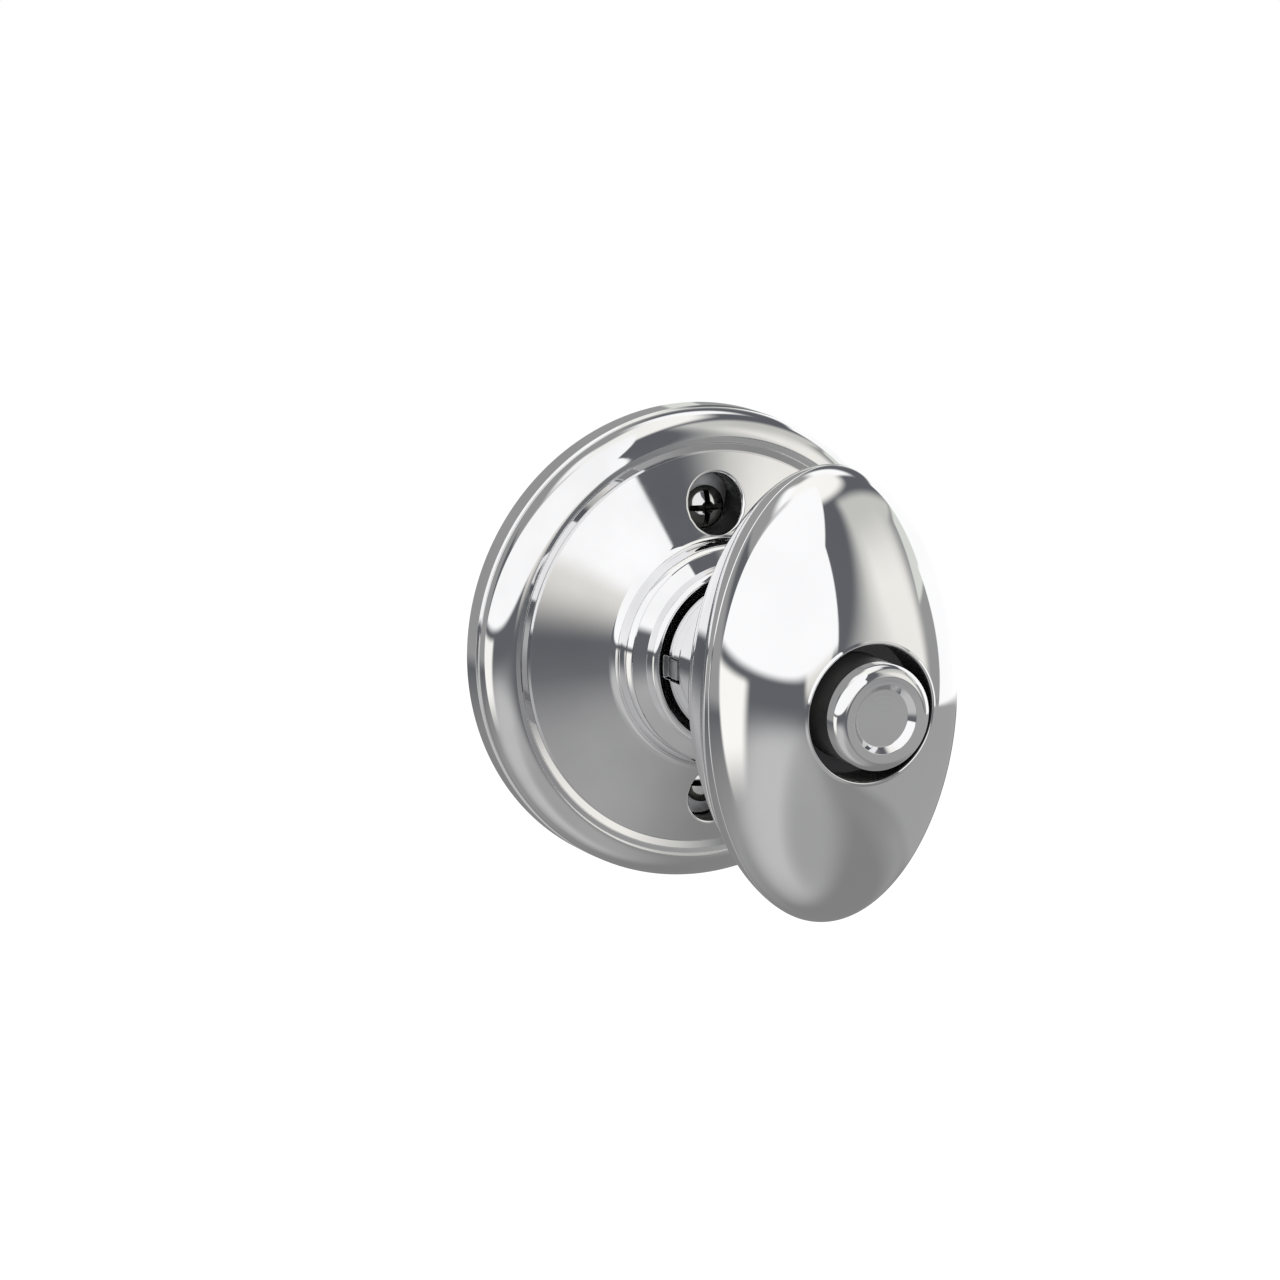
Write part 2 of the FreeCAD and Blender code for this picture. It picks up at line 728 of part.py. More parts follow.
def make_screw(name, z):
    """A through screw with a domed head, seated on the mounting plate, threaded behind the door face."""
    crown = d.head_height - d.head_edge
    crown_radius = (d.head_radius * d.head_radius + crown * crown) / (crown * 2)
    body = turned(
        name,
        (0, -d.screw_reach),
        (d.screw_tip_radius, -d.screw_reach),
        (d.screw_radius, d.screw_point - d.screw_reach),
        (d.screw_radius, 0),
        (d.screw_neck_radius, 0),
        (d.screw_neck_radius, d.seat_depth),
        (d.head_radius, d.seat_depth),
        (d.head_radius, d.seat_depth + d.head_edge),
        crown_radius,
        (0, d.seat_depth + d.head_height),
    )
    bind(body, "Placement.Base.z", z)
    return body


def make_neck_bushing():
    """The bearing in the rosette's neck that the knob's shank turns in."""
    bore = d.shank_radius + d.running_gap
    return turned(
        "neck_bushing",
        (bore, d.cage_depth),
        (BUSH_RADIUS, d.cage_depth),
        (BUSH_RADIUS, LEDGE_BACK - d.bush_chamfer),
        (BUSH_RADIUS - d.bush_chamfer, LEDGE_BACK),
        (bore, LEDGE_BACK),
    )


def make_return_spring():
    """The torsion spring that brings the knob back to level."""
    foot = d.plate_thick + d.plate_eye_height + d.spring_foot_gap
    room = DRIVER_BACK - foot - d.end_gap
    coil_radius = HUB_TAIL_RADIUS + d.spring_coil_gap
    return coil("return_spring", coil_radius, d.spring_wire, d.spring_turns, foot, room)


def make_drive_hub():
    """The turned hub that carries the knob, with a D socket in its tail for the spindle."""
    tail = -d.hub_tail_reach
    groove_front = -d.end_gap
    groove_rear = groove_front - d.ring_thick - d.fixed_gap
    groove_floor = HUB_TAIL_RADIUS - d.ring_groove
    body = turned(
        "drive_hub",
        (d.socket_radius, tail),
        (HUB_TAIL_RADIUS - d.edge_chamfer, tail),
        (HUB_TAIL_RADIUS, tail + d.edge_chamfer),
        (HUB_TAIL_RADIUS, groove_rear),
        (groove_floor, groove_rear),
        (groove_floor, groove_front),
        (HUB_TAIL_RADIUS, groove_front),
        (HUB_TAIL_RADIUS, DRIVER_FRONT),
        (HUB_RADIUS, DRIVER_FRONT),
        (HUB_RADIUS, HUB_FRONT - d.edge_chamfer),
        (HUB_RADIUS - d.edge_chamfer, HUB_FRONT),
        (HUB_BORE, HUB_FRONT),
        (HUB_BORE, SOCKET_END + d.hub_cone),
        (d.socket_radius, SOCKET_END),
    )
    flat = face_sketch(body, "socket_flat_outline", tail)
    sunk = d.edge_chamfer
    half = other_leg(d.socket_radius, d.socket_flat) + sunk
    rectangle(flat, d.socket_flat, -half, d.socket_radius + sunk, half)
    pad(body, flat, "socket_flat", d.socket_length - d.socket_step)
    window = side_sketch(body, "catch_window_outline")
    half_length = d.catch_length / 2 + d.catch_gap
    half_height = d.catch_height / 2 + d.catch_gap
    rectangle(window, -(CATCH_MIDDLE + half_length), -half_height,
              -(CATCH_MIDDLE - half_length), half_height)
    cut_to_left(body, window, "catch_window", HUB_RADIUS)
    return body


def cut_to_left(body, sketch, name, reach):
    """Cuts a side sketch's outline through the -X side of a tube."""
    cut = pocket(body, sketch, name, reach + d.cut_over)
    cut.Reversed = False


def make_spring_driver():
    """The cam plate on the hub whose arm winds the return spring."""
    bore = HUB_TAIL_RADIUS + d.fixed_gap
    thick = d.driver_thick - d.fixed_gap
    body = turned(
        "spring_driver",
        (bore, DRIVER_BACK),
        (STOP_RUN, DRIVER_BACK),
        (STOP_RUN, DRIVER_BACK + thick),
        (bore, DRIVER_BACK + thick),
    )
    arm = face_sketch(body, "arm_outline", DRIVER_BACK)
    half = d.arm_width / 2
    rectangle(arm, -half, -(CAGE_BORE - d.arm_clearance), half, -(STOP_RUN + bore) / 2)
    pad(body, arm, "arm", thick)
    return body


def make_thrust_washer():
    """The washer between the hub's shoulder and the cage's lid."""
    bore = HUB_RADIUS + d.fixed_gap
    return turned(
        "thrust_washer",
        (bore, WASHER_BACK),
        (STOP_RUN, WASHER_BACK),
        (STOP_RUN, WASHER_BACK + d.washer_thick),
        (bore, WASHER_BACK + d.washer_thick),
    )


def make_retaining_ring():
    """The open ring in the hub's tail groove that holds the hub to the plate."""
    inner = HUB_TAIL_RADIUS - d.ring_groove + d.fixed_gap
    outer = HUB_TAIL_RADIUS + d.ring_reach
    rear = -(d.end_gap + d.ring_thick)
    return open_clip("hub_retaining_ring", inner, outer, rear, d.ring_thick, d.ring_mouth)


def make_knob_shank():
    """The tube from the knob into the rosette's neck, with a slot for the knob catch."""
    front = d.knob_rear_depth + d.knob_wall
    body = turned(
        "knob_shank",
        (SHANK_BORE, SHANK_REAR),
        (d.shank_radius - d.edge_chamfer, SHANK_REAR),
        (d.shank_radius, SHANK_REAR + d.edge_chamfer),
        (d.shank_radius, front),
        (SHANK_LIP_RADIUS, front),
        (SHANK_LIP_RADIUS, front + d.shank_lip_thick),
        (SHANK_BORE, front + d.shank_lip_thick),
    )
    slot = side_sketch(body, "catch_slot_outline")
    half = d.catch_height / 2 + d.catch_slot_gap
    rectangle(slot, -CATCH_SLOT_FRONT, -half, -CATCH_SLOT_REAR, half)
    cut_to_left(body, slot, "catch_slot", d.shank_radius)
    return body


def make_knob_front():
    """The domed front shell of the knob, with a turned-in collar round the button."""
    centre = KNOB_RIM - d.knob_dome_lead
    outside = dome("front_outside", 0, centre, KNOB_NOSE, NOSE_LAND, OUTER_STEPS)
    inside = dome("front_inside", d.knob_wall, centre, KNOB_NOSE - d.knob_wall, NOSE_LAND, INNER_STEPS)
    shell = boolean("Part::Cut", "front_shell", outside, inside)
    collar_radius = NOSE_BORE + d.nose_collar_wall
    collar_rear = KNOB_NOSE - d.nose_collar_length
    collar = turned(
        "nose_collar",
        (NOSE_BORE - d.cut_over, collar_rear),
        (collar_radius, collar_rear),
        (collar_radius, KNOB_NOSE - d.nose_lip),
        (NOSE_LAND, KNOB_NOSE),
        (NOSE_BORE + d.nose_lip, KNOB_NOSE + d.nose_lip),
        d.nose_lip,
        (NOSE_BORE, KNOB_NOSE),
        (NOSE_BORE - d.cut_over, KNOB_NOSE),
    )
    joined = boolean("Part::Fuse", "front_with_collar", shell, collar)
    bore = axial_cylinder("nose_hole", 0, 0, NOSE_BORE, KNOB_RIM, d.knob_front_length + d.cut_over)
    return boolean("Part::Cut", "knob_front", joined, bore)


def make_knob_back():
    """The rounded rear shell of the knob, pierced for the shank."""
    rear_land = d.shank_radius + d.rear_land_width
    inner_land = SHANK_LIP_RADIUS + d.rear_inner_gap
    inner_rear = d.knob_rear_depth + d.knob_wall
    outside = dome("back_outside", 0, KNOB_RIM, d.knob_rear_depth, rear_land, OUTER_STEPS)
    inside = dome("back_inside", d.knob_wall, KNOB_RIM, inner_rear, inner_land, INNER_STEPS)
    shell = boolean("Part::Cut", "back_shell", outside, inside)
    hole = axial_cylinder("shank_hole", 0, 0, d.shank_radius + d.fixed_gap,
                          d.knob_rear_depth - d.cut_over, d.knob_wall + d.cut_over * 2)
    return boolean("Part::Cut", "knob_back", shell, hole)


def make_button_guide():
    """The flanged cup in the knob's nose that the push button slides in."""
    return turned(
        "button_guide",
        (STEM_BORE, GUIDE_REAR),
        (GUIDE_RADIUS, GUIDE_REAR),
        (GUIDE_RADIUS, GUIDE_FRONT),
        (BUTTON_BORE, GUIDE_FRONT),
        (BUTTON_BORE, GUIDE_FLOOR_TOP),
        (STEM_BORE, GUIDE_FLOOR_TOP),
    )


def make_push_button():
    """The round button cap with a rounded edge and a shallow dished recess."""
    skirt = BUTTON_FACE - d.button_length
    bore = d.button_radius - d.button_wall
    boss = d.stem_radius + d.button_boss_wall
    recess = d.button_radius - d.button_ring_width
    socket = d.stem_radius + d.fixed_gap
    return turned(
        "push_button",
        (0, STEM_SEAT),
        (socket, STEM_SEAT),
        (socket, STEM_SEAT - d.stem_socket_depth),
        (boss, STEM_SEAT - d.stem_socket_depth),
        (boss, BUTTON_CEILING),
        (bore, BUTTON_CEILING),
        (bore, skirt),
        (d.button_radius, skirt),
        (d.button_radius, BUTTON_FACE - d.button_edge_round),
        d.button_edge_round,
        (d.button_radius - d.button_edge_round, BUTTON_FACE),
        (recess, BUTTON_FACE),
        (recess - d.button_recess_taper, RECESS_FLOOR),
        (0, RECESS_FLOOR),
    )


def make_button_spring():
    """The compression spring under the button cap."""
    bore = d.button_radius - d.button_wall
    boss = d.stem_radius + d.button_boss_wall
    length = BUTTON_CEILING - GUIDE_FLOOR_TOP - d.end_gap
    return coil("button_spring", (bore + boss) / 2, d.button_spring_wire,
                d.button_spring_turns, GUIDE_FLOOR_TOP + d.end_gap / 2, length)


def make_button_stem():
    """The rod from the button through the hub, grooved for its clips and slotted for the bar."""
    groove = d.stem_radius - d.stem_groove
    shut_rear = SPOOL_FRONT
    shut_front = SPOOL_FRONT + d.detent_wire
    body = turned(
        "button_stem",
        (0, STEM_REAR),
        (d.stem_radius, STEM_REAR),
        (d.stem_radius, shut_rear),
        (groove, shut_rear),
        (groove, shut_front),
        (d.stem_radius, shut_front),
        (d.stem_radius, shut_rear + d.button_travel),
        (groove, shut_rear + d.button_travel),
        (groove, shut_front + d.button_travel),
        (d.stem_radius, shut_front + d.button_travel),
        (d.stem_radius, CLIP_REAR),
        (groove, CLIP_REAR),
        (groove, CLIP_FRONT),
        (d.stem_radius, CLIP_FRONT),
        (d.stem_radius, STEM_SEAT),
        (0, STEM_SEAT),
    )
    slot = face_sketch(body, "bar_slot_outline", STEM_REAR)
    half = d.bar_thick / 2 + d.fixed_gap
    across = d.stem_radius + d.cut_over
    rectangle(slot, -half, -across, half, across)
    pocket(body, slot, "bar_slot", d.bar_grip + d.fixed_gap)
    return body


def make_locking_bar():
    """The flat bar that reaches out behind the hub to the latch and the far half."""
    bar = doc.addObject("Part::Box", "locking_bar")
    bind(bar, "Length", d.bar_thick)
    bind(bar, "Width", d.bar_rear + BAR_FRONT)
    bind(bar, "Height", d.bar_width)
    bind(bar, "Placement.Base.x", -d.bar_thick / 2)
    bind(bar, "Placement.Base.y", -BAR_FRONT)
    bind(bar, "Placement.Base.z", -d.bar_width / 2)
    bar.Label = "locking_bar"
    return bar


def make_stem_clip():
    """The clip on the stem that stops the button from leaving its guide."""
    inner = d.stem_radius - d.stem_groove + d.fixed_gap
    outer = d.stem_radius + d.stem_clip_width
    return open_clip("stem_clip", inner, outer, CLIP_REAR, d.stem_clip_thick, d.clip_mouth)


def make_detent_clip():
    """The spring clip in front of the spool that holds the button pushed in."""
    outer = STEM_BORE + d.detent_width
    rear = SPOOL_FRONT + d.fixed_gap
    return open_clip("detent_clip", STEM_BORE, outer, rear, d.detent_wire, d.clip_mouth)


def make_stem_guide():
    """The spool inside the hub that centres the stem and backs the catch spring."""
    outer = HUB_BORE - d.fixed_gap
    return turned(
        "stem_guide",
        (STEM_BORE, SPOOL_REAR),
        (outer, SPOOL_REAR),
        (outer, SPOOL_REAR + d.spool_flange),
        (SPOOL_TUBE, SPOOL_REAR + d.spool_flange),
        (SPOOL_TUBE, SPOOL_FRONT - d.spool_flange),
        (outer, SPOOL_FRONT - d.spool_flange),
        (outer, SPOOL_FRONT),
        (STEM_BORE, SPOOL_FRONT),
    )


def make_knob_catch():
    """The sprung catch that locks the shank to the hub through both slots."""
    body = new_body("knob_catch")
    front = CATCH_MIDDLE + d.catch_length / 2
    rear = CATCH_MIDDLE - d.catch_length / 2
    sketch = section_sketch(body, "catch_section")
    outline(
        sketch,
        (-CATCH_FACE, rear - d.catch_base_spread),
        (-CATCH_FACE, front + d.catch_base_spread),
        (-CATCH_BASE_FRONT, front + d.catch_base_spread),
        (-CATCH_BASE_FRONT, front),
        (-CATCH_TIP, front),
        (-CATCH_TIP, rear + d.catch_chamfer),
        (-(CATCH_TIP - d.catch_chamfer), rear),
        (-CATCH_BASE_FRONT, rear),
        (-CATCH_BASE_FRONT, rear - d.catch_base_spread),
    )
    block = pad(body, sketch, "catch_block", d.catch_height)
    block.Midplane = True
    return body


def make_catch_spring():
    """The bowed leaf between the spool and the catch."""
    body = new_body("catch_spring")
    inner = -(SPOOL_TUBE + d.leaf_gap)
    crest = -(CATCH_FACE - d.leaf_gap)
    foot = CATCH_MIDDLE - d.leaf_length
    rise = inner - crest
    bow = (d.leaf_length * d.leaf_length + rise * rise) / (rise * 2)
    sketch = section_sketch(body, "leaf_section")
    outline(
        sketch,
        (inner, foot),
        (inner, foot + d.leaf_foot),
        bow,
        (crest + d.leaf_thick, CATCH_MIDDLE),
        (crest, CATCH_MIDDLE),
        -(bow + d.leaf_thick),
        (inner - d.leaf_thick, foot),
    )
    leaf = pad(body, sketch, "leaf", d.catch_height - d.leaf_side_gap * 2)
    leaf.Midplane = True
    return body


parts = {
    "rosette": make_rosette(),
    "mounting_plate": make_mounting_plate(),
    "spring_cage": make_spring_cage(),
    "cage_rivets": make_cage_rivets(),
    "return_spring": make_return_spring(),
    "neck_bushing": make_neck_bushing(),
    "upper_screw": make_screw("upper_screw", SCREW_Z),
    "lower_screw": make_screw("lower_screw", -SCREW_Z),
    "drive_hub": make_drive_hub(),
    "spring_driver": make_spring_driver(),
    "thrust_washer": make_thrust_washer(),
    "hub_retaining_ring": make_retaining_ring(),
    "knob_shank": make_knob_shank(),
    "knob_front": make_knob_front(),
    "knob_back": make_knob_back(),
    "button_guide": make_button_guide(),
    "push_button": make_push_button(),
    "button_stem": make_button_stem(),
    "locking_bar": make_locking_bar(),
    "stem_clip": make_stem_clip(),
    "detent_clip": make_detent_clip(),
    "button_spring": make_button_spring(),
    "stem_guide": make_stem_guide(),
    "knob_catch": make_knob_catch(),
    "catch_spring": make_catch_spring(),
}

doc.recompute()

faults = [item.Label for item in doc.Objects if {"Invalid", "Error"} & set(item.State)]
for name, part in parts.items():
    if part.Shape.isNull() or not part.Shape.isValid() or not part.Shape.Solids:
        faults.append(name)
if faults:
    raise SystemExit("failed: " + ", ".join(faults))

os.makedirs("parts", exist_ok=True)
for name, part in parts.items():
    part.Shape.exportStep(f"parts/{name}.step")
    print(name, len(part.Shape.Solids), round(part.Shape.Volume, 2))
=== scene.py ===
"""The inside half of a privacy knob lock in bright chrome, in a white studio."""
import json
import math

import bmesh
import bpy
import numpy as np
from mathutils import Matrix, Vector


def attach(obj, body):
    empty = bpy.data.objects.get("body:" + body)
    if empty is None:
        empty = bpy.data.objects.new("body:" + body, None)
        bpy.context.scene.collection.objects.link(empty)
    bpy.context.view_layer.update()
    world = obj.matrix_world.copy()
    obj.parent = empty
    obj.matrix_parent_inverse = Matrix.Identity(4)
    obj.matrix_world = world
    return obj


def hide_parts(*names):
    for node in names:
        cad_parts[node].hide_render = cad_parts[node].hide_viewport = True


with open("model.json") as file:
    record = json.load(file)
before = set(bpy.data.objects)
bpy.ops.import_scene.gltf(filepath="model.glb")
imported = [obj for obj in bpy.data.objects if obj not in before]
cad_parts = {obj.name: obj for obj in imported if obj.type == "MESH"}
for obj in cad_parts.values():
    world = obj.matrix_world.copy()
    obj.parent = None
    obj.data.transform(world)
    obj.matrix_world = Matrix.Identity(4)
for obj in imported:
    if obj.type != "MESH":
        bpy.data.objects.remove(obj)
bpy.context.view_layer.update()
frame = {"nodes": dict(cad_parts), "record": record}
nodes = frame["nodes"]

MM = 0.001

# Sizes in millimetres. A pair is a radius and a depth, measured from the door face into the room.
# Knob
KNOB_HALF_WIDTH = 17.0
KNOB_HALF_HEIGHT = 29.5
KNOB_RIM = 40.6
KNOB_REAR = 28.5
KNOB_NOSE = 51.3
KNOB_WALL = 1.1
FRONT_CENTRE = 40.16
FRONT_LAST = 75
NOSE_LAND = 9.2
NOSE_BORE = 8.64
NOSE_COLLAR = 9.44
NOSE_LIP = (8.94, 51.45)
LIP_RADIUS = 0.25
NOSE_MOUTH = 51.15
COLLAR_REAR = 44.5
NOSE_SHADE = 50.9
REAR_LAND = 11.9
REAR_INNER_LAND = 12.8
REAR_HOLE = 11.04
KNOB_EASE = 0.2

# Shank, with the slot that the catch stands in
SHANK = 11.0
SHANK_BORE = 9.64
SHANK_REAR = 9.6
SHANK_LEAD = ((10.6, SHANK_REAR), (SHANK, 10.0))
SHANK_FLANGE = ((SHANK, 29.6), (12.6, 29.6), (12.6, 30.6), (SHANK_BORE, 30.6))
SLOT_REAR = 15.4
SLOT_FRONT = 20.2
SLOT_HALF_HEIGHT = 1.6
SLOT_EASE = 0.12

# Push button, from its hollow rear to its dished front
BUTTON_SHADE = 52.2
BUTTON_HOLLOW = ((0, 52.0), (2.04, 52.0), (2.04, 50.0), (3.2, 50.0), (3.2, 53.0), (5.6, 53.0), (5.6, 45.0))
BUTTON_SIDE = ((6.7, 45.0), (6.7, BUTTON_SHADE), (6.7, 53.5))
BUTTON_ROUNDING = 1.4
BUTTON_FRONT = ((5.3, 54.9), (4.35, 54.9), (3.6, 54.1), (0, 54.1))
BUTTON_EASE = 0.15

# Screws
SCREW_Z = 19.05
SCREW_RADIUS = 2.05
HEAD_RADIUS = 2.95
SEAT_DEPTH = 4.6
HEAD_EDGE = 5.5
HEAD_TOP = 6.8
CROWN_RADIUS = 3.997
SCREW_SEAT_RADIUS = 1.82
UNTHREADED = 1.9
SCREW_POINT = ((0, -36.0), (1.2, -36.0), (SCREW_RADIUS, -34.8))
THREAD_START = 0.05
THREAD_FADE = 0.6
THREAD_END = 34.5
THREAD_PITCH = 0.794
THREAD_DEPTH = 0.36
THREAD_RUNOUT = 0.4
THREAD_FLANK = 1.25
THREAD_CREST = 0.1
THREAD_ROWS = 7
RECESS_TOP = 7.3
RECESS_FLOOR = 5.1
ARM_REACH = (3.6, 1.6)
ARM_HALF_WIDTH = (0.47, 0.3)
CONE_FLOOR = 4.9
CONE_RADIUS = (1.1, 0.5)

# Rosette: rim, roll, groove with its bead, face, cove, neck and mouth, and the hollow behind them
RIM = ((31.37, 0), (32.54, 0), (32.46, 2.95), (32.18, 3.2))
ROLL_RADIUS = 3.8
GROOVE = ((28.85, 8.17), (28.65, 7.52), (28.0, 7.52), (27.9, 7.72), (26.95, 7.52))
NECK_LEDGE = ((14.45, 13.4), (12.7, 14.0), (12.6, 15.2))
MOUTH_RADIUS = 0.8
LIP_DEPTH = 16.0
MOUTH = ((11.8, LIP_DEPTH), (11.62, 15.85), (11.62, 13.0))
HOLLOW_ROLL = ((28.45, 6.52), (31.37, 4.38))
HOLLOW_ROLL_RADIUS = 2.8
ACCESS_Z = 19.95
ACCESS = 4.05
ACCESS_EASE = 0.4
CUP = 4.5
CUP_EASE = 0.1
CUP_REAR = 4.85
FACE_OUTER = 26.75
FACE_DEPTH = 7.88
FACE_END = (16.4, 9.95)
FACE_SLOPE = (FACE_END[1] - FACE_DEPTH) / (FACE_OUTER - FACE_END[0])
COVE_CENTRE = (16.655, 11.225)
COVE_RADIUS = 1.3
COVE_TURN = (15.356, 11.18)
NECK_RADIUS = 4.14
NECK_END = (14.61, 13.41)
HOLLOW_SLOPE = 0.2104
HOLLOW_CENTRE = (18.1, 13.2)
HOLLOW_RADIUS = 4.5
HOLLOW_END = 12.4
FACE_WALL = 1.0
WINDOW_TOP = 24.6
MOUTH_SHADE = 0.45
LIP_SHADE = 0.2

# How far round a measured edge, and how squarely, a face still belongs to it
EDGE_MARGIN = 0.1
CROWN_MARGIN = 0.02
CROWN_LIKENESS = 0.97
REAR_LIKENESS = 0.3

# Directions: the two across the axis, the two across the shank's side, and the way into the door
ACROSS_AXIS = np.array(((1, 0, 0), (0, 0, 1)), float)
ACROSS_SIDE = np.array(((0, 1, 0), (0, 0, 1)), float)
INTO_DOOR = np.array((0, 1, 0), float)

# The attribute that marks the faces painted dark as shade: the insides of recesses, cups and bores
PAINTED_SHADE_FACES = "painted_shade"

# Texture sizes and ranges that the materials share, heights in metres
CLOUD_SCALE = 90
GRAIN_DETAIL = 5
CLOUD_DETAIL = 3
ROUGH_RANGE = (0.7, 1.3)
TINT_RANGE = (0.35, 0.65)
# The painted shade is rougher, and a touch warmer, than the chrome round it
PAINTED_SHADE_ROUGHER = 0.35
PAINTED_SHADE_WARMTH = 0.97
GRAIN_HEIGHT = 0.00002
RING_HEIGHT = 0.00001
RING_SCALE = 500
RING_WANDER = 1.5

# The camera fitted to the photograph, in metres, degrees and the photograph's pixels
CAMERA_AWAY = 0.43
CAMERA_AZIMUTH = -26.4242
CAMERA_ELEVATION = 11.8195
CAMERA_PAN = -0.8353
CAMERA_TILT = -0.0506
FOCAL_PIXELS = 3124.82
PHOTO_PIXELS = 1280
SENSOR_MM = 36
NEAREST = 0.01
FARTHEST = 20

# Background and light, in metres, degrees and watts
WORLD_LIGHT = 0.72
FLOOR_HEIGHT = -0.15
FLOOR_HALF = 60
FLOOR_PALE = 0.9
FLOOR_GLOW = 0.36
LAMP_WAY = (-50, 50)
LAMP_AWAY = 0.9
LAMP_SIZE = 0.5
LAMP_POWER = 2.2

# How finely the curved surfaces are drawn
AROUND = 288
BUTTON_AROUND = 192
SCREW_AROUND = 64
CONE_AROUND = 24
DOME_STEPS = 44
INSIDE_STEPS = 12
HOLE_STEPS = 14
COVE_STEPS = 16
CONE_STEPS = 4
SLOT_STEPS = 12
SLOT_ROWS = 16
ARC_STEP = math.radians(5)
EASE_STEPS = 5
SMALL_TURN = math.radians(4)
SHARP_TURN = math.radians(32)
WIDEST_EASE = 2.4
EASE_SHARE = 0.4
LOOP_RINGS = 6
LOOP_CROWDING = 0.7
SIDE_STEP = 0.01
NUDGE = 1e-4
TINY = 1e-6
NO_LENGTH = 1e-7


def spot(*place):
    """A point of an outline: half width, half height and depth. Two numbers are a radius and a depth."""
    return np.array(place if len(place) == 3 else (place[0], place[0], place[1]), float)


def unit(vector):
    return vector / np.linalg.norm(vector)


def line(start, end, steps=1):
    return (lambda share: start + (end - start) * share), steps


def arc(start, end, radius, steps=None):
    """The arc from start to end; a positive radius has its centre on the left of the way there."""
    a, b = start[[0, 2]], end[[0, 2]]
    chord = b - a
    half = np.hypot(*chord) / 2
    left = np.array((-chord[1], chord[0])) / (2 * half)
    reach = math.copysign(math.sqrt(max(radius * radius - half * half, 0)), radius)
    centre = (a + b) / 2 + left * reach
    first = math.atan2(*(a - centre)[::-1])
    sweep = math.copysign(2 * math.asin(min(half / abs(radius), 1)), radius)

    def along(share):
        turn = first + sweep * share
        return spot(*(centre + abs(radius) * np.array((math.cos(turn), math.sin(turn)))))

    return along, steps or max(3, math.ceil(abs(sweep) / ARC_STEP))


def dome(inset, land, centre, end, last=90, steps=DOME_STEPS):
    """The knob's curved side from its rim to a round land, met square on where last is 90 degrees."""
    last = math.radians(last)
    reach = (end - centre) / math.sin(last)
    first = math.asin((KNOB_RIM - centre) / reach)

    def along(share):
        angle = first + (last - first) * share
        part = (math.cos(angle) - math.cos(last)) / (math.cos(first) - math.cos(last))
        wide = land + (KNOB_HALF_WIDTH - inset - land) * part
        high = land + (KNOB_HALF_HEIGHT - inset - land) * part
        return spot(wide, high, centre + reach * math.sin(angle))

    return along, steps


def backwards(run):
    along, steps = run
    return (lambda share: along(1 - share)), steps


def heading(along, share):
    low, high = max(share - NUDGE, 0), min(share + NUDGE, 1)
    return (along(high) - along(low)) / (high - low)


def trace(runs, ease, closed):
    """The points along the runs and the way each one heads, with the corners between them eased."""
    count = len(runs)
    starts, ends, bends = [0.0] * count, [1.0] * count, [None] * count
    for i in range(count if closed else count - 1):
        j = (i + 1) % count
        one, two = runs[i][0], runs[j][0]
        out, into = heading(one, 1), heading(two, 0)
        turn = math.acos(np.clip(unit(out) @ unit(into), -1, 1))
        if turn > SMALL_TURN:
            room = min(np.linalg.norm(run(1) - run(0)) for run in (one, two))
            back = min(ease * math.tan(min(turn, WIDEST_EASE) / 2), EASE_SHARE * room)
            ends[i] = 1 - back / np.linalg.norm(out)
            starts[j] = back / np.linalg.norm(into)
            bends[i] = one(1)
    places, ways, marks = [], [], []
    for i, (along, steps) in enumerate(runs):
        shares = np.linspace(starts[i], ends[i], steps + 1)
        if i:
            shares = shares[1:]
        marks.append(max(len(places) - 1, 0))
        for share in shares:
            places.append(along(share))
            ways.append(unit(heading(along, share)))
        if bends[i] is not None:
            j = (i + 1) % count
            a, corner, b = along(ends[i]), bends[i], runs[j][0](starts[j])
            for s in np.linspace(0, 1, EASE_STEPS + 1)[1:]:
                places.append(a * (1 - s) ** 2 + corner * 2 * s * (1 - s) + b * s * s)
                ways.append(unit((corner - a) * (1 - s) + (b - corner) * s))
    if closed:
        places.pop()
        ways.pop()
    return np.array(places), np.array(ways), marks


def outline(*steps, ease=0.08):
    """Traces a closed outline of corners, arc radii between corners, and ready-made runs."""
    runs, first, corner, bend = [], None, None, None
    for step in steps:
        if not isinstance(step, tuple):
            bend = step
            continue
        ready = callable(step[0])
        start = step[0](0) if ready else spot(*step)
        if corner is not None and np.linalg.norm(start - corner) > TINY:
            runs.append(arc(corner, start, bend) if bend else line(corner, start))
        if ready:
            runs.append(step)
        first = start if first is None else first
        corner, bend = step[0](1) if ready else start, None
    through_axis = first[0] < TINY and corner[0] < TINY
    if not through_axis and np.linalg.norm(corner - first) > TINY:
        runs.append(arc(corner, first, bend) if bend else line(corner, first))
    return trace(runs, ease, not through_axis)


class Shape:
    """Points, faces and a normal at each face's corners, in millimetres until it becomes a mesh."""

    def __init__(self):
        self.points = []
        self.faces = []
        self.normals = []

    def ring(self, points):
        first = len(self.points)
        self.points += [np.array(p, float) for p in points]
        return list(range(first, len(self.points)))

    def face(self, corners, normals):
        p = [self.points[c] for c in corners]
        across = np.cross(p[2] - p[0], p[-1] - p[1]) if len(p) == 4 else np.cross(p[1] - p[0], p[2] - p[0])
        if across @ sum(normals) < 0:
            corners, normals = corners[::-1], normals[::-1]
        self.faces.append(corners)
        self.normals += normals

    def strip(self, one, two, normals_one, normals_two, skip=()):
        count = len(one)
        for i in range(count):
            j = (i + 1) % count
            if i not in skip:
                self.face([one[i], one[j], two[j], two[i]],
                          [normals_one[i], normals_one[j], normals_two[j], normals_two[i]])

    def fan(self, middle, around, normals):
        count = len(around)
        for i in range(count):
            j = (i + 1) % count
            self.face([middle, around[i], around[j]], [normals[i], normals[i], normals[j]])

    def mesh(self, name):
        mesh = bpy.data.meshes.new(name)
        mesh.from_pydata(np.array(self.points) * MM, [], self.faces)
        mesh.shade_smooth()
        mesh.normals_split_custom_set(self.normals)
        return mesh


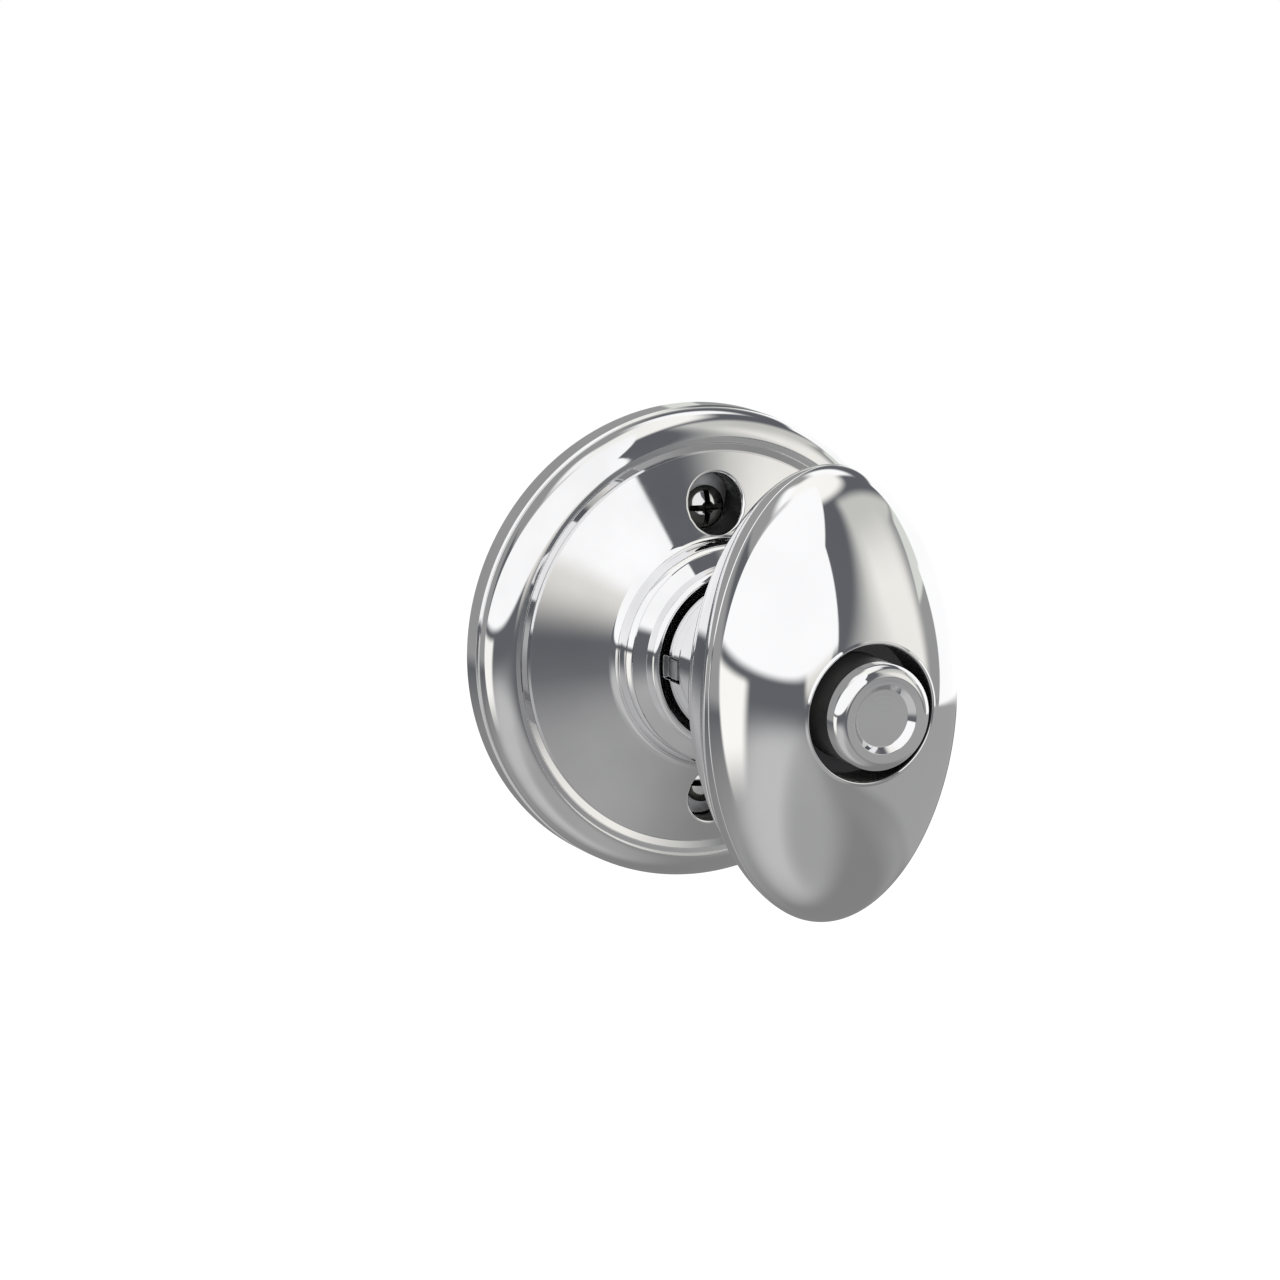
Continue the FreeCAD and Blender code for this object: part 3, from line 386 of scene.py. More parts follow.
def angles_round(count):
    return np.arange(count) * 2 * math.pi / count


def ring_normals(place, way, angles, side):
    (wide, high, _), (dw, dh, dd) = place, way
    cos, sin = np.cos(angles), np.sin(angles)
    found = np.stack([high * dd * cos, high * dw * cos ** 2 + wide * dh * sin ** 2, wide * dd * sin], 1)
    length = np.linalg.norm(found, axis=1, keepdims=True)
    flat = np.array((0, math.copysign(1, dw), 0))
    return side * np.where(length > NO_LENGTH, found / np.maximum(length, NO_LENGTH), flat)


def turned(shape, traced, around=AROUND, skip=None):
    """Turns a traced outline round the axis. skip gives the faces left out of the strip from a point on."""
    places, ways, _ = traced
    angles = angles_round(around)
    radius, depth = places[:, 0], places[:, 2]
    area = np.sum(radius * np.roll(depth, -1) - np.roll(radius, -1) * depth)
    side = math.copysign(1, area)
    rings, normals = [], []
    for place, way in zip(places, ways):
        wide, high, at = place
        if wide < TINY:
            rings.append(shape.ring([(0, -at, 0)]))
        else:
            rings.append(shape.ring(np.stack(
                [wide * np.cos(angles), np.full(around, -at), high * np.sin(angles)], 1)))
        normals.append(list(ring_normals(place, way, angles, side)))
    through_axis = radius[0] < TINY
    count = len(places)
    for i in range(count - 1 if through_axis else count):
        j = (i + 1) % count
        if len(rings[i]) == 1 or len(rings[j]) == 1:
            middle, rim = (i, j) if len(rings[i]) == 1 else (j, i)
            shape.fan(rings[middle][0], rings[rim], normals[rim])
        else:
            shape.strip(rings[i], rings[j], normals[i], normals[j], skip(i) if skip else ())
    return rings, normals


def loop_round(rings, normals, first, last, low, high):
    """The vertices round a window between two rings and two angle steps, and their normals."""
    step = 1 if first < last else -1
    spots = [(first, k) for k in range(low, high)]
    spots += [(j, high) for j in range(first, last, step)]
    spots += [(last, k) for k in range(high, low, -1)]
    spots += [(j, low) for j in range(last, first, -step)]
    return [rings[j][k] for j, k in spots], [normals[j][k] for j, k in spots]


def around_hole(shape, loop, loop_normals, axes, middle, edge, lift, inward, ease, facing,
                rings=LOOP_RINGS):
    """Fills a surface from a loop to a hole's rounded mouth. Gives the mouth's last ring and its normals.

    axes are the two directions across the hole, edge the hole's edge for an angle round its middle,
    lift the surface's point and normal over a place, and inward the way into the hole."""
    flat = np.array([axes @ shape.points[i] for i in loop])
    turns = np.arctan2(*(flat - middle).T[::-1])
    rim = np.array([middle + edge(t) for t in turns])
    out = flat - rim
    out /= np.linalg.norm(out, axis=1, keepdims=True)
    corners, insets, lows, wall = [], [], [], []
    for place, way, turn in zip(rim, out, turns):
        corner = lift(place)[0]
        rise = unit(lift(place + way * SIDE_STEP)[0] - corner)
        bend = math.acos(np.clip(-(rise @ inward), -1, 1))
        back = ease * math.tan(bend / 2)
        across = back * math.sqrt(max(1 - (rise @ inward) ** 2, 0))
        corners.append(corner)
        insets.append(place + way * across)
        lows.append(corner + inward * back)
        along = edge(turn + SIDE_STEP) - edge(turn - SIDE_STEP)
        square = unit(np.array((along[1], -along[0])))
        wall.append(facing * math.copysign(1, square @ (place - middle)) * (square @ axes))
    last, last_normals = loop, loop_normals
    for share in (np.arange(1, rings + 1) / rings) ** LOOP_CROWDING:
        lifted = [lift(a + (b - a) * share) for a, b in zip(flat, insets)]
        ring, normals = shape.ring([p for p, _ in lifted]), [n for _, n in lifted]
        shape.strip(last, ring, last_normals, normals)
        last, last_normals = ring, normals
    start = np.array([shape.points[i] for i in last])
    surface = last_normals
    for s in np.linspace(0, 1, EASE_STEPS + 1)[1:]:
        ring = shape.ring(start * (1 - s) ** 2 + np.array(corners) * 2 * s * (1 - s) + np.array(lows) * s * s)
        normals = [unit(n * (1 - s) + w * s) for n, w in zip(surface, wall)]
        shape.strip(last, ring, last_normals, normals)
        last, last_normals = ring, normals
    return last, wall


def circle_edge(radius):
    return lambda turn: radius * np.array((math.cos(turn), math.sin(turn)))


def window_edge(half_wide, half_high, power=14):
    """A rectangle's edge with slightly rounded corners."""
    def edge(turn):
        c, s = math.cos(turn), math.sin(turn)
        reach = ((abs(c) / half_wide) ** power + (abs(s) / half_high) ** power) ** (-1 / power)
        return reach * np.array((c, s))
    return edge


def face_lift(depth, slope, seam, centre, reach, side):
    """A cone that runs into a cove, as a point and a normal over a place across the axis."""
    def lift(place):
        radius = np.hypot(*place)
        outward = np.array((place[0] / radius, 0, place[1] / radius))
        if radius > seam:
            at = depth + (FACE_OUTER - radius) * slope
            normal = unit(outward * slope - INTO_DOOR)
        else:
            run = min((centre[0] - radius) / reach, 1)
            drop = math.sqrt(1 - run * run)
            at = centre[1] - reach * drop
            normal = outward * run - INTO_DOOR * drop
        return np.array((place[0], -at, place[1])), normal * side
    return lift


def cone_run(depth, slope, end):
    return line(spot(WINDOW_TOP, depth + (FACE_OUTER - WINDOW_TOP) * slope), end, CONE_STEPS)


def make_rosette():
    """The pressed rosette: a turned shell with two access holes whose mouths are rolled in to cups."""
    shape = Shape()
    cone = cone_run(FACE_DEPTH, FACE_SLOPE, spot(*FACE_END))
    cove = arc(spot(*FACE_END), spot(*COVE_TURN), -COVE_RADIUS, COVE_STEPS)
    neck = arc(spot(*COVE_TURN), spot(*NECK_END), NECK_RADIUS, COVE_STEPS)
    seam = spot(HOLLOW_CENTRE[0], HOLLOW_CENTRE[1] - HOLLOW_RADIUS)
    hollow_reach = math.sqrt(HOLLOW_RADIUS ** 2 - (HOLLOW_CENTRE[1] - HOLLOW_END) ** 2)
    hollow_cone = cone_run(FACE_DEPTH - FACE_WALL, HOLLOW_SLOPE, seam)
    hollow_cove = arc(seam, spot(HOLLOW_CENTRE[0] - hollow_reach, HOLLOW_END), -HOLLOW_RADIUS, COVE_STEPS)
    traced = outline(
        *RIM, ROLL_RADIUS, *GROOVE, (FACE_OUTER, FACE_DEPTH), cone, cove, neck,
        *NECK_LEDGE, MOUTH_RADIUS, *MOUTH, backwards(hollow_cove), backwards(hollow_cone),
        HOLLOW_ROLL[0], HOLLOW_ROLL_RADIUS, HOLLOW_ROLL[1])
    places, _, _ = traced

    def nearest(run, share):
        return int(np.argmin(np.linalg.norm(places - run[0](share), axis=1)))

    windows = [
        (nearest(cone, 0), nearest(cove, 1) - 1,
         face_lift(FACE_DEPTH, FACE_SLOPE, FACE_END[0], COVE_CENTRE, COVE_RADIUS, 1), 1),
        (nearest(hollow_cone, 0), nearest(hollow_cove, 1) + 1,
         face_lift(FACE_DEPTH - FACE_WALL, HOLLOW_SLOPE, HOLLOW_CENTRE[0], HOLLOW_CENTRE,
                   HOLLOW_RADIUS, -1), -1)]
    quarter = AROUND // 4
    holes = ((quarter, ACCESS_Z), (3 * quarter, -ACCESS_Z))
    left_out = {k for at, _ in holes for k in range(at - HOLE_STEPS, at + HOLE_STEPS)}
    spans = [sorted(w[:2]) for w in windows]
    rings, normals = turned(shape, traced, skip=lambda i: left_out if any(
        low <= i < high for low, high in spans) else ())
    for at, z in holes:
        middle = np.array((0, z))
        ends = []
        for window, inner, lift, side in windows:
            loop = loop_round(rings, normals, window, inner, at - HOLE_STEPS, at + HOLE_STEPS)
            radius, ease = (ACCESS, ACCESS_EASE) if side > 0 else (CUP, CUP_EASE)
            ends.append(around_hole(shape, *loop, ACROSS_AXIS, middle, circle_edge(radius), lift,
                                    INTO_DOOR, ease, -side))
        rears = []
        for ring, wall in ends:
            rear = shape.ring([(shape.points[i][0], -CUP_REAR, shape.points[i][2]) for i in ring])
            shape.strip(ring, rear, wall, wall)
            rears.append(rear)
        facing = [INTO_DOOR] * len(rears[0])
        shape.strip(*rears, facing, facing)

    # Painted shade: the faces inside the cups, and those facing the door behind the neck's lip, are painted
    # dark grey
    def in_painted_shade(polygon):
        x, y, z = polygon.center / MM
        off_axis = math.hypot(x, abs(z) - ACCESS_Z)
        face = FACE_DEPTH + FACE_SLOPE * (FACE_OUTER - math.hypot(x, z))
        in_cup = off_axis < CUP + EDGE_MARGIN and -y < face - MOUTH_SHADE
        return in_cup or (polygon.normal.y > REAR_LIKENESS and -y < LIP_DEPTH - LIP_SHADE)

    return mark_painted_shade(shape.mesh("rosette_shell"), in_painted_shade)


def make_shank():
    """The tube that carries the knob, with the slot for the catch."""
    shape = Shape()
    low, high = SLOT_REAR - 1, SLOT_FRONT + 1
    traced = outline(
        (SHANK_BORE, SHANK_REAR), *SHANK_LEAD, line(spot(SHANK, low), spot(SHANK, high), SLOT_ROWS),
        *SHANK_FLANGE, line(spot(SHANK_BORE, high), spot(SHANK_BORE, low), SLOT_ROWS))
    places, _, _ = traced
    half = AROUND // 2
    spans = []
    for radius in (SHANK, SHANK_BORE):
        ends = [int(np.argmin(np.linalg.norm(places - spot(radius, d), axis=1))) for d in (low, high)]
        spans.append(sorted(ends))
    left_out = set(range(half - SLOT_STEPS, half + SLOT_STEPS))
    rings, normals = turned(shape, traced, skip=lambda i: left_out if any(
        a <= i < b for a, b in spans) else ())
    middle = np.array((-(SLOT_REAR + SLOT_FRONT) / 2, 0))
    edge = window_edge((SLOT_FRONT - SLOT_REAR) / 2, SLOT_HALF_HEIGHT)
    ends = []
    for radius, side, span in ((SHANK, 1, spans[0]), (SHANK_BORE, -1, spans[1])):
        def lift(place, radius=radius, side=side):
            x = -math.sqrt(radius * radius - place[1] ** 2)
            return np.array((x, *place)), side * unit(np.array((x, 0, place[1])))

        loop = loop_round(rings, normals, *span[::side], half - SLOT_STEPS, half + SLOT_STEPS)
        ends.append(around_hole(shape, *loop, ACROSS_SIDE, middle, edge, lift,
                                np.array((side, 0, 0), float), SLOT_EASE, -1, 3))
    (outer, wall), (inner, _) = ends
    shape.strip(outer, inner, wall, wall)
    return shape.mesh("shank_tube")


def make_knob_front():
    """The knob's front shell, from the crease to the lip round the button."""
    shape = Shape()
    outside = dome(0, NOSE_LAND, FRONT_CENTRE, KNOB_NOSE, FRONT_LAST)
    inside = dome(KNOB_WALL, NOSE_LAND, FRONT_CENTRE - KNOB_WALL, KNOB_NOSE - KNOB_WALL, FRONT_LAST,
                  INSIDE_STEPS)
    inner_rim = (KNOB_HALF_WIDTH - KNOB_WALL, KNOB_HALF_HEIGHT - KNOB_WALL, KNOB_RIM)
    turned(shape, outline(
        inner_rim, outside, NOSE_LIP, LIP_RADIUS, (NOSE_BORE, NOSE_MOUTH), (NOSE_BORE, COLLAR_REAR),
        (NOSE_COLLAR, COLLAR_REAR), (NOSE_COLLAR, KNOB_NOSE - KNOB_WALL), backwards(inside),
        ease=KNOB_EASE))

    # Painted shade: the wall deep inside the nose bore is painted dark grey
    def in_bore(polygon):
        x, y, z = polygon.center / MM
        return -y < NOSE_SHADE and math.hypot(x, z) < NOSE_BORE + EDGE_MARGIN

    return mark_painted_shade(shape.mesh("knob_front_shell"), in_bore)


def make_knob_back():
    """The knob's rear shell, from the hole round the shank to the crease."""
    shape = Shape()
    outside = dome(0, REAR_LAND, KNOB_RIM, KNOB_REAR)
    inside = dome(KNOB_WALL, REAR_INNER_LAND, KNOB_RIM, KNOB_REAR + KNOB_WALL, steps=INSIDE_STEPS)
    turned(shape, outline(
        inside, (REAR_HOLE, KNOB_REAR + KNOB_WALL), (REAR_HOLE, KNOB_REAR), backwards(outside),
        ease=KNOB_EASE))
    return shape.mesh("knob_back_shell")


def make_button():
    """The push button, hollow behind and dished in front."""
    shape = Shape()
    turned(shape, outline(*BUTTON_HOLLOW, *BUTTON_SIDE, BUTTON_ROUNDING, *BUTTON_FRONT, ease=BUTTON_EASE),
           BUTTON_AROUND)
    # Painted shade: the button's side wall, deep in the bore, is painted dark grey
    return mark_painted_shade(shape.mesh("button_cap"), lambda polygon: -polygon.center.y < BUTTON_SHADE * MM)


def make_screw(z):
    """A screw with its thread and crosshead recess."""
    shape = Shape()
    rows = round(THREAD_END / THREAD_PITCH * THREAD_ROWS)
    turned(shape, outline(
        *SCREW_POINT, line(spot(SCREW_RADIUS, -THREAD_END), spot(SCREW_RADIUS, 0), rows),
        (SCREW_SEAT_RADIUS, 0), (SCREW_SEAT_RADIUS, SEAT_DEPTH), (HEAD_RADIUS, SEAT_DEPTH),
        (HEAD_RADIUS, HEAD_EDGE), CROWN_RADIUS, (0, HEAD_TOP)), SCREW_AROUND)
    for point in shape.points:
        radius = math.hypot(point[0], point[2])
        if THREAD_START < point[1] < THREAD_END + THREAD_RUNOUT and radius > UNTHREADED:
            turn = point[1] / THREAD_PITCH - math.atan2(point[2], point[0]) / (2 * math.pi)
            ridge = abs((turn % 1) * 2 - 1)
            fade = min(1, (point[1] - THREAD_START) / THREAD_FADE)
            groove = min(1, max(0, THREAD_FLANK * ridge - THREAD_CREST))
            shrink = 1 - THREAD_DEPTH * fade * groove / radius
            point[0] *= shrink
            point[2] *= shrink
    mesh = shape.mesh("screw_turned")
    blank = bpy.data.objects.new("screw_blank", mesh)
    bpy.context.scene.collection.objects.link(blank)
    cutters = [cross_cutter(), cone_cutter()]
    for cutter in cutters:
        bore = blank.modifiers.new("recess", "BOOLEAN")
        bore.operation = "DIFFERENCE"
        bore.solver = "EXACT"
        bore.object = cutter
    graph = bpy.context.evaluated_depsgraph_get()
    cut = bpy.data.meshes.new_from_object(blank.evaluated_get(graph))
    for thing in [blank, *cutters]:
        bpy.data.objects.remove(thing)
    cut.shade_smooth()
    cut.set_sharp_from_angle(angle=SHARP_TURN)
    centre = Vector((0, -(HEAD_TOP - CROWN_RADIUS) * MM, 0))
    normals = [Vector((0, 0, 0))] * len(cut.loops)

    def on_crown(polygon):
        away = (polygon.center - centre).normalized()
        above_edge = polygon.center.y < -(HEAD_EDGE + CROWN_MARGIN) * MM
        return above_edge and polygon.normal.dot(away) > CROWN_LIKENESS

    # Painted shade: the faces of the crosshead recess are painted near black
    def in_recess(polygon):
        inside = math.hypot(polygon.center.x, polygon.center.z) < (HEAD_RADIUS - EDGE_MARGIN) * MM
        return inside and polygon.center.y < -CONE_FLOOR * MM and not on_crown(polygon)

    for polygon in cut.polygons:
        if on_crown(polygon):
            for loop in polygon.loop_indices:
                normals[loop] = (cut.vertices[cut.loops[loop].vertex_index].co - centre).normalized()
    cut.normals_split_custom_set(normals)
    mark_painted_shade(cut, in_recess)
    cut.transform(Matrix.Translation((0, 0, z * MM)))
    return cut


def cross_cutter():
    """The tapered cross that the recess is cut with."""
    shape = Shape()
    loops = []
    for depth, reach, half in zip((RECESS_TOP, RECESS_FLOOR), ARM_REACH, ARM_HALF_WIDTH):
        corner = []
        for k in range(4):
            turn = k * math.pi / 2
            c, s = math.cos(turn), math.sin(turn)
            for x, y in ((half, -half), (reach, -half), (reach, half)):
                corner.append((c * x - s * y, -depth, s * x + c * y))
        loops.append(shape.ring(corner))
    return flat_cutter("cross", shape, loops)


def cone_cutter():
    """The cone in the middle of the recess."""
    shape = Shape()
    loops = []
    for depth, radius in zip((RECESS_TOP, CONE_FLOOR), CONE_RADIUS):
        loops.append(shape.ring([(radius * math.cos(a), -depth, radius * math.sin(a))
                                 for a in angles_round(CONE_AROUND)]))
    return flat_cutter("cone", shape, loops)


def flat_cutter(name, shape, loops):
    """A closed cutter between two loops, its faces outwards."""
    top, floor = loops
    faces = [[floor[i - 1], floor[i], top[i], top[i - 1]] for i in range(len(top))]
    mesh = bpy.data.meshes.new(name)
    mesh.from_pydata(np.array(shape.points) * MM, [], [*faces, top, floor[::-1]])
    cutter = bpy.data.objects.new(name, mesh)
    bpy.context.scene.collection.objects.link(cutter)
    return cutter


def mark_painted_shade(mesh, is_painted_shade):
    """Marks the faces that get a painted shade: the insides of recesses, cups and bores where shade falls."""
    marks = mesh.attributes.new(PAINTED_SHADE_FACES, "FLOAT", "FACE")
    for polygon in mesh.polygons:
        marks.data[polygon.index].value = 1.0 if is_painted_shade(polygon) else 0.0
    return mesh


def add(tree, kind, **settings):
    """A new shader node, with plain settings by name."""
    node = tree.nodes.new(kind)
    for name, value in settings.items():
        setattr(node, name, value)
    return node


def feed(tree, source, socket):
    tree.links.new(source, socket)


def map_range(tree, source, low, high, to_low=0.0, to_high=1.0, smooth=False):
    found = add(tree, "ShaderNodeMapRange", interpolation_type="SMOOTHSTEP" if smooth else "LINEAR")
    for name, value in (("From Min", low), ("From Max", high), ("To Min", to_low), ("To Max", to_high)):
        found.inputs[name].default_value = value
    feed(tree, source, found.inputs["Value"])
    return found.outputs["Result"]


def noise(tree, vector, scale, detail):
    found = add(tree, "ShaderNodeTexNoise")
    found.inputs["Scale"].default_value = scale
    found.inputs["Detail"].default_value = detail
    feed(tree, vector, found.inputs["Vector"])
    return found.outputs["Fac"]


def bumped(tree, height, strength, distance):
    found = add(tree, "ShaderNodeBump")
    found.inputs["Strength"].default_value = strength
    found.inputs["Distance"].default_value = distance
    feed(tree, height, found.inputs["Height"])
    return found


def with_painted_shade(tree, surface, roughness, grey):
    """The colour and roughness, with a painted shade, a dark and rougher grey, on the marked faces."""
    marked = add(tree, "ShaderNodeAttribute", attribute_name=PAINTED_SHADE_FACES)
    darker = add(tree, "ShaderNodeMix", data_type="RGBA")
    darker.inputs["B"].default_value = (grey, grey, grey * PAINTED_SHADE_WARMTH, 1)
    feed(tree, marked.outputs["Fac"], darker.inputs["Factor"])
    feed(tree, surface, darker.inputs["A"])
    rougher = add(tree, "ShaderNodeMath", operation="MULTIPLY_ADD")
    rougher.inputs[1].default_value = PAINTED_SHADE_ROUGHER
    feed(tree, marked.outputs["Fac"], rougher.inputs[0])
    feed(tree, roughness, rougher.inputs[2])
    return darker.outputs["Result"], rougher.outputs[0]


def finish(slot, rough, spread, scale, bump, stretch=(1, 1, 1), tint=0.0, rings=0.0, metallic=1.0, painted_shade=None):
    """A material with the slot's colour: fine grain, cloudy variation and, on turned metal, tool rings.

    The last argument is the grey of a painted shade on the marked faces in recesses, cups and bores."""
    colour = colour_of[slot]
    material = bpy.data.materials.new(slot)
    material.use_nodes = True
    tree = material.node_tree
    shader = tree.nodes["Principled BSDF"]
    shader.inputs["Metallic"].default_value = metallic
    place = add(tree, "ShaderNodeTexCoord").outputs["Object"]
    mapping = add(tree, "ShaderNodeMapping")
    mapping.inputs["Scale"].default_value = stretch
    feed(tree, place, mapping.inputs["Vector"])
    grain = noise(tree, mapping.outputs["Vector"], scale, GRAIN_DETAIL)
    cloud = noise(tree, place, CLOUD_SCALE, CLOUD_DETAIL)
    both = add(tree, "ShaderNodeMath", operation="ADD")
    feed(tree, grain, both.inputs[0])
    feed(tree, cloud, both.inputs[1])
    roughness = map_range(tree, both.outputs[0], *ROUGH_RANGE, rough, rough + spread)
    shade = add(tree, "ShaderNodeMix", data_type="RGBA")
    shade.inputs["A"].default_value = (*colour, 1)
    shade.inputs["B"].default_value = (*(c * (1 - tint) for c in colour), 1)
    feed(tree, map_range(tree, cloud, *TINT_RANGE), shade.inputs["Factor"])
    surface = shade.outputs["Result"]
    if painted_shade:
        surface, roughness = with_painted_shade(tree, surface, roughness, painted_shade)
    feed(tree, surface, shader.inputs["Base Color"])
    feed(tree, roughness, shader.inputs["Roughness"])
    bumps = bumped(tree, grain, bump, GRAIN_HEIGHT)
    if rings:
        waves = add(tree, "ShaderNodeTexWave", wave_type="RINGS", rings_direction="Y")
        waves.inputs["Scale"].default_value = RING_SCALE
        waves.inputs["Distortion"].default_value = RING_WANDER
        feed(tree, place, waves.inputs["Vector"])
        marks = bumped(tree, waves.outputs["Fac"], rings, RING_HEIGHT)
        feed(tree, bumps.outputs["Normal"], marks.inputs["Normal"])
        bumps = marks
    feed(tree, bumps.outputs["Normal"], shader.inputs["Normal"])
    return material


def piece(name, mesh, body, node):
    """Shows a detailed mesh in a CAD node's place."""
    shown = bpy.data.objects.new(name, mesh)
    bpy.context.scene.collection.objects.link(shown)
    mesh.materials.clear()
    mesh.materials.append(materials[slot_of[node]])
    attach(shown, body)
    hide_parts(node)


slot_of = {row["node"]: row["material_slot"] for row in frame["record"]["subparts"]}
colour_of = {row["slot"]: row["base_color"] for row in frame["record"]["materials"]}
materials = {
    # The last number of a chrome finish, where given, is the grey of its painted shade in recesses, cups and
    # bores
    "rose_chrome": finish("rose_chrome", 0.02, 0.025, 700, 0.02, tint=0.08, painted_shade=0.1),
    "knob_chrome": finish("knob_chrome", 0.015, 0.02, 700, 0.015, tint=0.03, painted_shade=0.05),
    "shank_chrome": finish("shank_chrome", 0.02, 0.03, 700, 0.03, tint=0.04, rings=0.02),
    "button_chrome": finish("button_chrome", 0.025, 0.03, 800, 0.03, tint=0.04, rings=0.02, painted_shade=0.04),
    "screw_chrome": finish("screw_chrome", 0.05, 0.08, 900, 0.12, tint=0.12, painted_shade=0.035),
    "plate_steel": finish("plate_steel", 0.26, 0.2, 1100, 0.35, tint=0.12),
    "hub_steel": finish("hub_steel", 0.2, 0.16, 1100, 0.2, tint=0.1, rings=0.5),
    "rivet_steel": finish("rivet_steel", 0.28, 0.18, 1200, 0.3, tint=0.1),
    "bar_steel": finish("bar_steel", 0.24, 0.18, 900, 0.3, stretch=(1, 0.12, 1), tint=0.1),
    "catch_steel": finish("catch_steel", 0.32, 0.12, 900, 0.15, tint=0.06),
    "spring_steel": finish("spring_steel", 0.22, 0.16, 1300, 0.25, tint=0.15),
    "washer_brass": finish("washer_brass", 0.2, 0.16, 1000, 0.2, tint=0.12, rings=0.4),
    "bushing_nylon": finish("bushing_nylon", 0.42, 0.14, 1500, 0.3, tint=0.1, metallic=0.0),
    "guide_plastic": finish("guide_plastic", 0.38, 0.14, 1500, 0.25, tint=0.1, metallic=0.0)}
for node, solid in nodes.items():
    solid.data.materials.clear()
    solid.data.materials.append(materials[slot_of[node]])
for name, mesh, body, node in (
        ("Rosette", make_rosette(), "rose", "rosette"),
        ("KnobFront", make_knob_front(), "knob", "knob_front"),
        ("KnobBack", make_knob_back(), "knob", "knob_back"),
        ("KnobShank", make_shank(), "knob", "knob_shank"),
        ("PushButton", make_button(), "button", "push_button"),
        ("UpperScrew", make_screw(SCREW_Z), "rose", "upper_screw"),
        ("LowerScrew", make_screw(-SCREW_Z), "rose", "lower_screw")):
    piece(name, mesh, body, node)
# As in the photograph, the rosette mirrors the studio and not the knob in front of it
for name in ("KnobFront", "KnobBack"):
    bpy.data.objects[name].visible_glossy = False

# The studio that the chrome mirrors, by azimuth and elevation in degrees as seen from the lock: azimuth 0
# is the room straight ahead, 90 the right and -90 the left. Grey levels are those that the chrome then shows.
STUDIO_RADIUS = 6.0
SHELL_LEVEL = 1.13
UNDER = ((-90, 125), (-60, 140), (-40, 150), (-24, 132), (-14, (98, 99, 103)), (62, (95, 96, 101)))
GLOWS = (
    (190, (-50, -44), 62, 12, (("below", -15, 16),)),
    (160, (0, -48), 34, 6, ()))
PATCHES = (
    # Grey level or colour, a direction inside, and the edges with their softness
    (130, (100, -60), (((20, -20), (30, -80), 22), ((30, -30), (110, -42), 10), ((-170, -20), (170, -80), 30))),
    ((225, 223, 217), (8, -2), (((-4, -10), (-2, 10), 8), ((17.6, 3.9), (19, -8), 1.5), ("above", -4.5, 9),
                                ("below", 6, 4))),
    (158, (75, -24), (((28, -25), (120, -31), 3), ("below", -12, 2), ((22, -10), (26, -60), 14),
                      ((135, -10), (130, -60), 10))),
    ((196, 196, 192), (45, 35), (((26, 0), (27, 50), 9), ((28, 57), (95, 31), 12), ("above", -8, 8))),
    ((240, 238, 232), (42, 10), (((32, 0), (32, 50), 9), ("below", 26, 26), ("above", -6, 8),
                                 ((52, -5), (62, 28), 14))),
    (150, (66, 8), (((48, -8), (72, 30), 10), ("below", 29, 3), ("above", -12, 4))),
    ((214, 217, 210), (80, 16), (((60, 8), (76, 25), 1.5), ((76, 26), (100, 28), 2), ((60, 8), (95, 12), 1.5))),
    (255, (110, 0), (((71, -12), (76, 10), 1.5), ((148, -12), (148, 12), 6), ("above", -13, 1.5),
                     ("below", 13, 2))),
    (255, (110, 18), (((76, 8), (93, 27), 1.5), ((92, 38), (140, 22), 3), ((148, -12), (148, 30), 6),
                      ("above", 8, 2))),
    (150, (-150, 40), (((-113, 20), (-113, 60), 12), ("above", 27, 4), ((165, 20), (165, 60), 12))),
    ((252, 251, 246), (-100, -14), (((-129, -1), (-119, -32), 5), ("below", -2.5, 3),
                                    ((-84, -3), (-94, -36), 12), ("above", -28, 16))),
    (255, (-145, 60), (((-160, 40), (-164, 75), 10), ("above", 50, 8), ((-118, 40), (-118, 75), 8))),
    (255, (140, 60), (((112, 40), (112, 75), 8), ("above", 48, 6), ((172, 40), (172, 75), 10))),
    ((250, 249, 244), (0, 88), (("above", 64, 5),)),
    (255, (-60, 30), (((-121, 25), (-128.5, 0), 1.2), ("above", 1.2, 3.6), ((4.5, 33), (19.5, 2), 0.8))),
    (255, (-60, 45), (((-114, 25), (-112, 70), 14), ("above", 24, 3), ((3.5, 20), (3.5, 70), 1.4))))


def towards(azimuth, elevation):
    """The direction at an azimuth and elevation in degrees, as seen from the lock."""
    a, e = math.radians(azimuth), math.radians(elevation)
    return Vector((math.sin(a) * math.cos(e), -math.cos(a) * math.cos(e), math.sin(e)))


def emission_of(level):
    """The light that the chrome shows as a grey level or colour out of 255."""
    channels = level if isinstance(level, tuple) else (level,) * 3
    return (*(((c / 255 + 0.055) / 1.055) ** 2.4 for c in channels), 1)


def edge_mask(tree, way, edge, inside):
    """1 on the inner side of an edge: a great circle through two directions, or a level line."""
    if edge[0] in ("above", "below"):
        limit, soft = math.sin(math.radians(edge[1])), math.radians(edge[2]) / 2
        normal = Vector((0, 0, 1 if edge[0] == "above" else -1))
        offset = limit if edge[0] == "above" else -limit
    else:
        normal = towards(*edge[0]).cross(towards(*edge[1])).normalized()
        if normal.dot(inside) < 0:
            normal.negate()
        offset, soft = 0, math.radians(edge[2]) / 2
    dot = add(tree, "ShaderNodeVectorMath", operation="DOT_PRODUCT")
    feed(tree, way, dot.inputs[0])
    dot.inputs[1].default_value = normal
    return map_range(tree, dot.outputs["Value"], offset - soft, offset + soft, smooth=True)


def product(tree, masks):
    """All masks multiplied."""
    found = masks[0]
    for mask in masks[1:]:
        times = add(tree, "ShaderNodeMath", operation="MULTIPLY")
        feed(tree, found, times.inputs[0])
        feed(tree, mask, times.inputs[1])
        found = times.outputs[0]
    return found


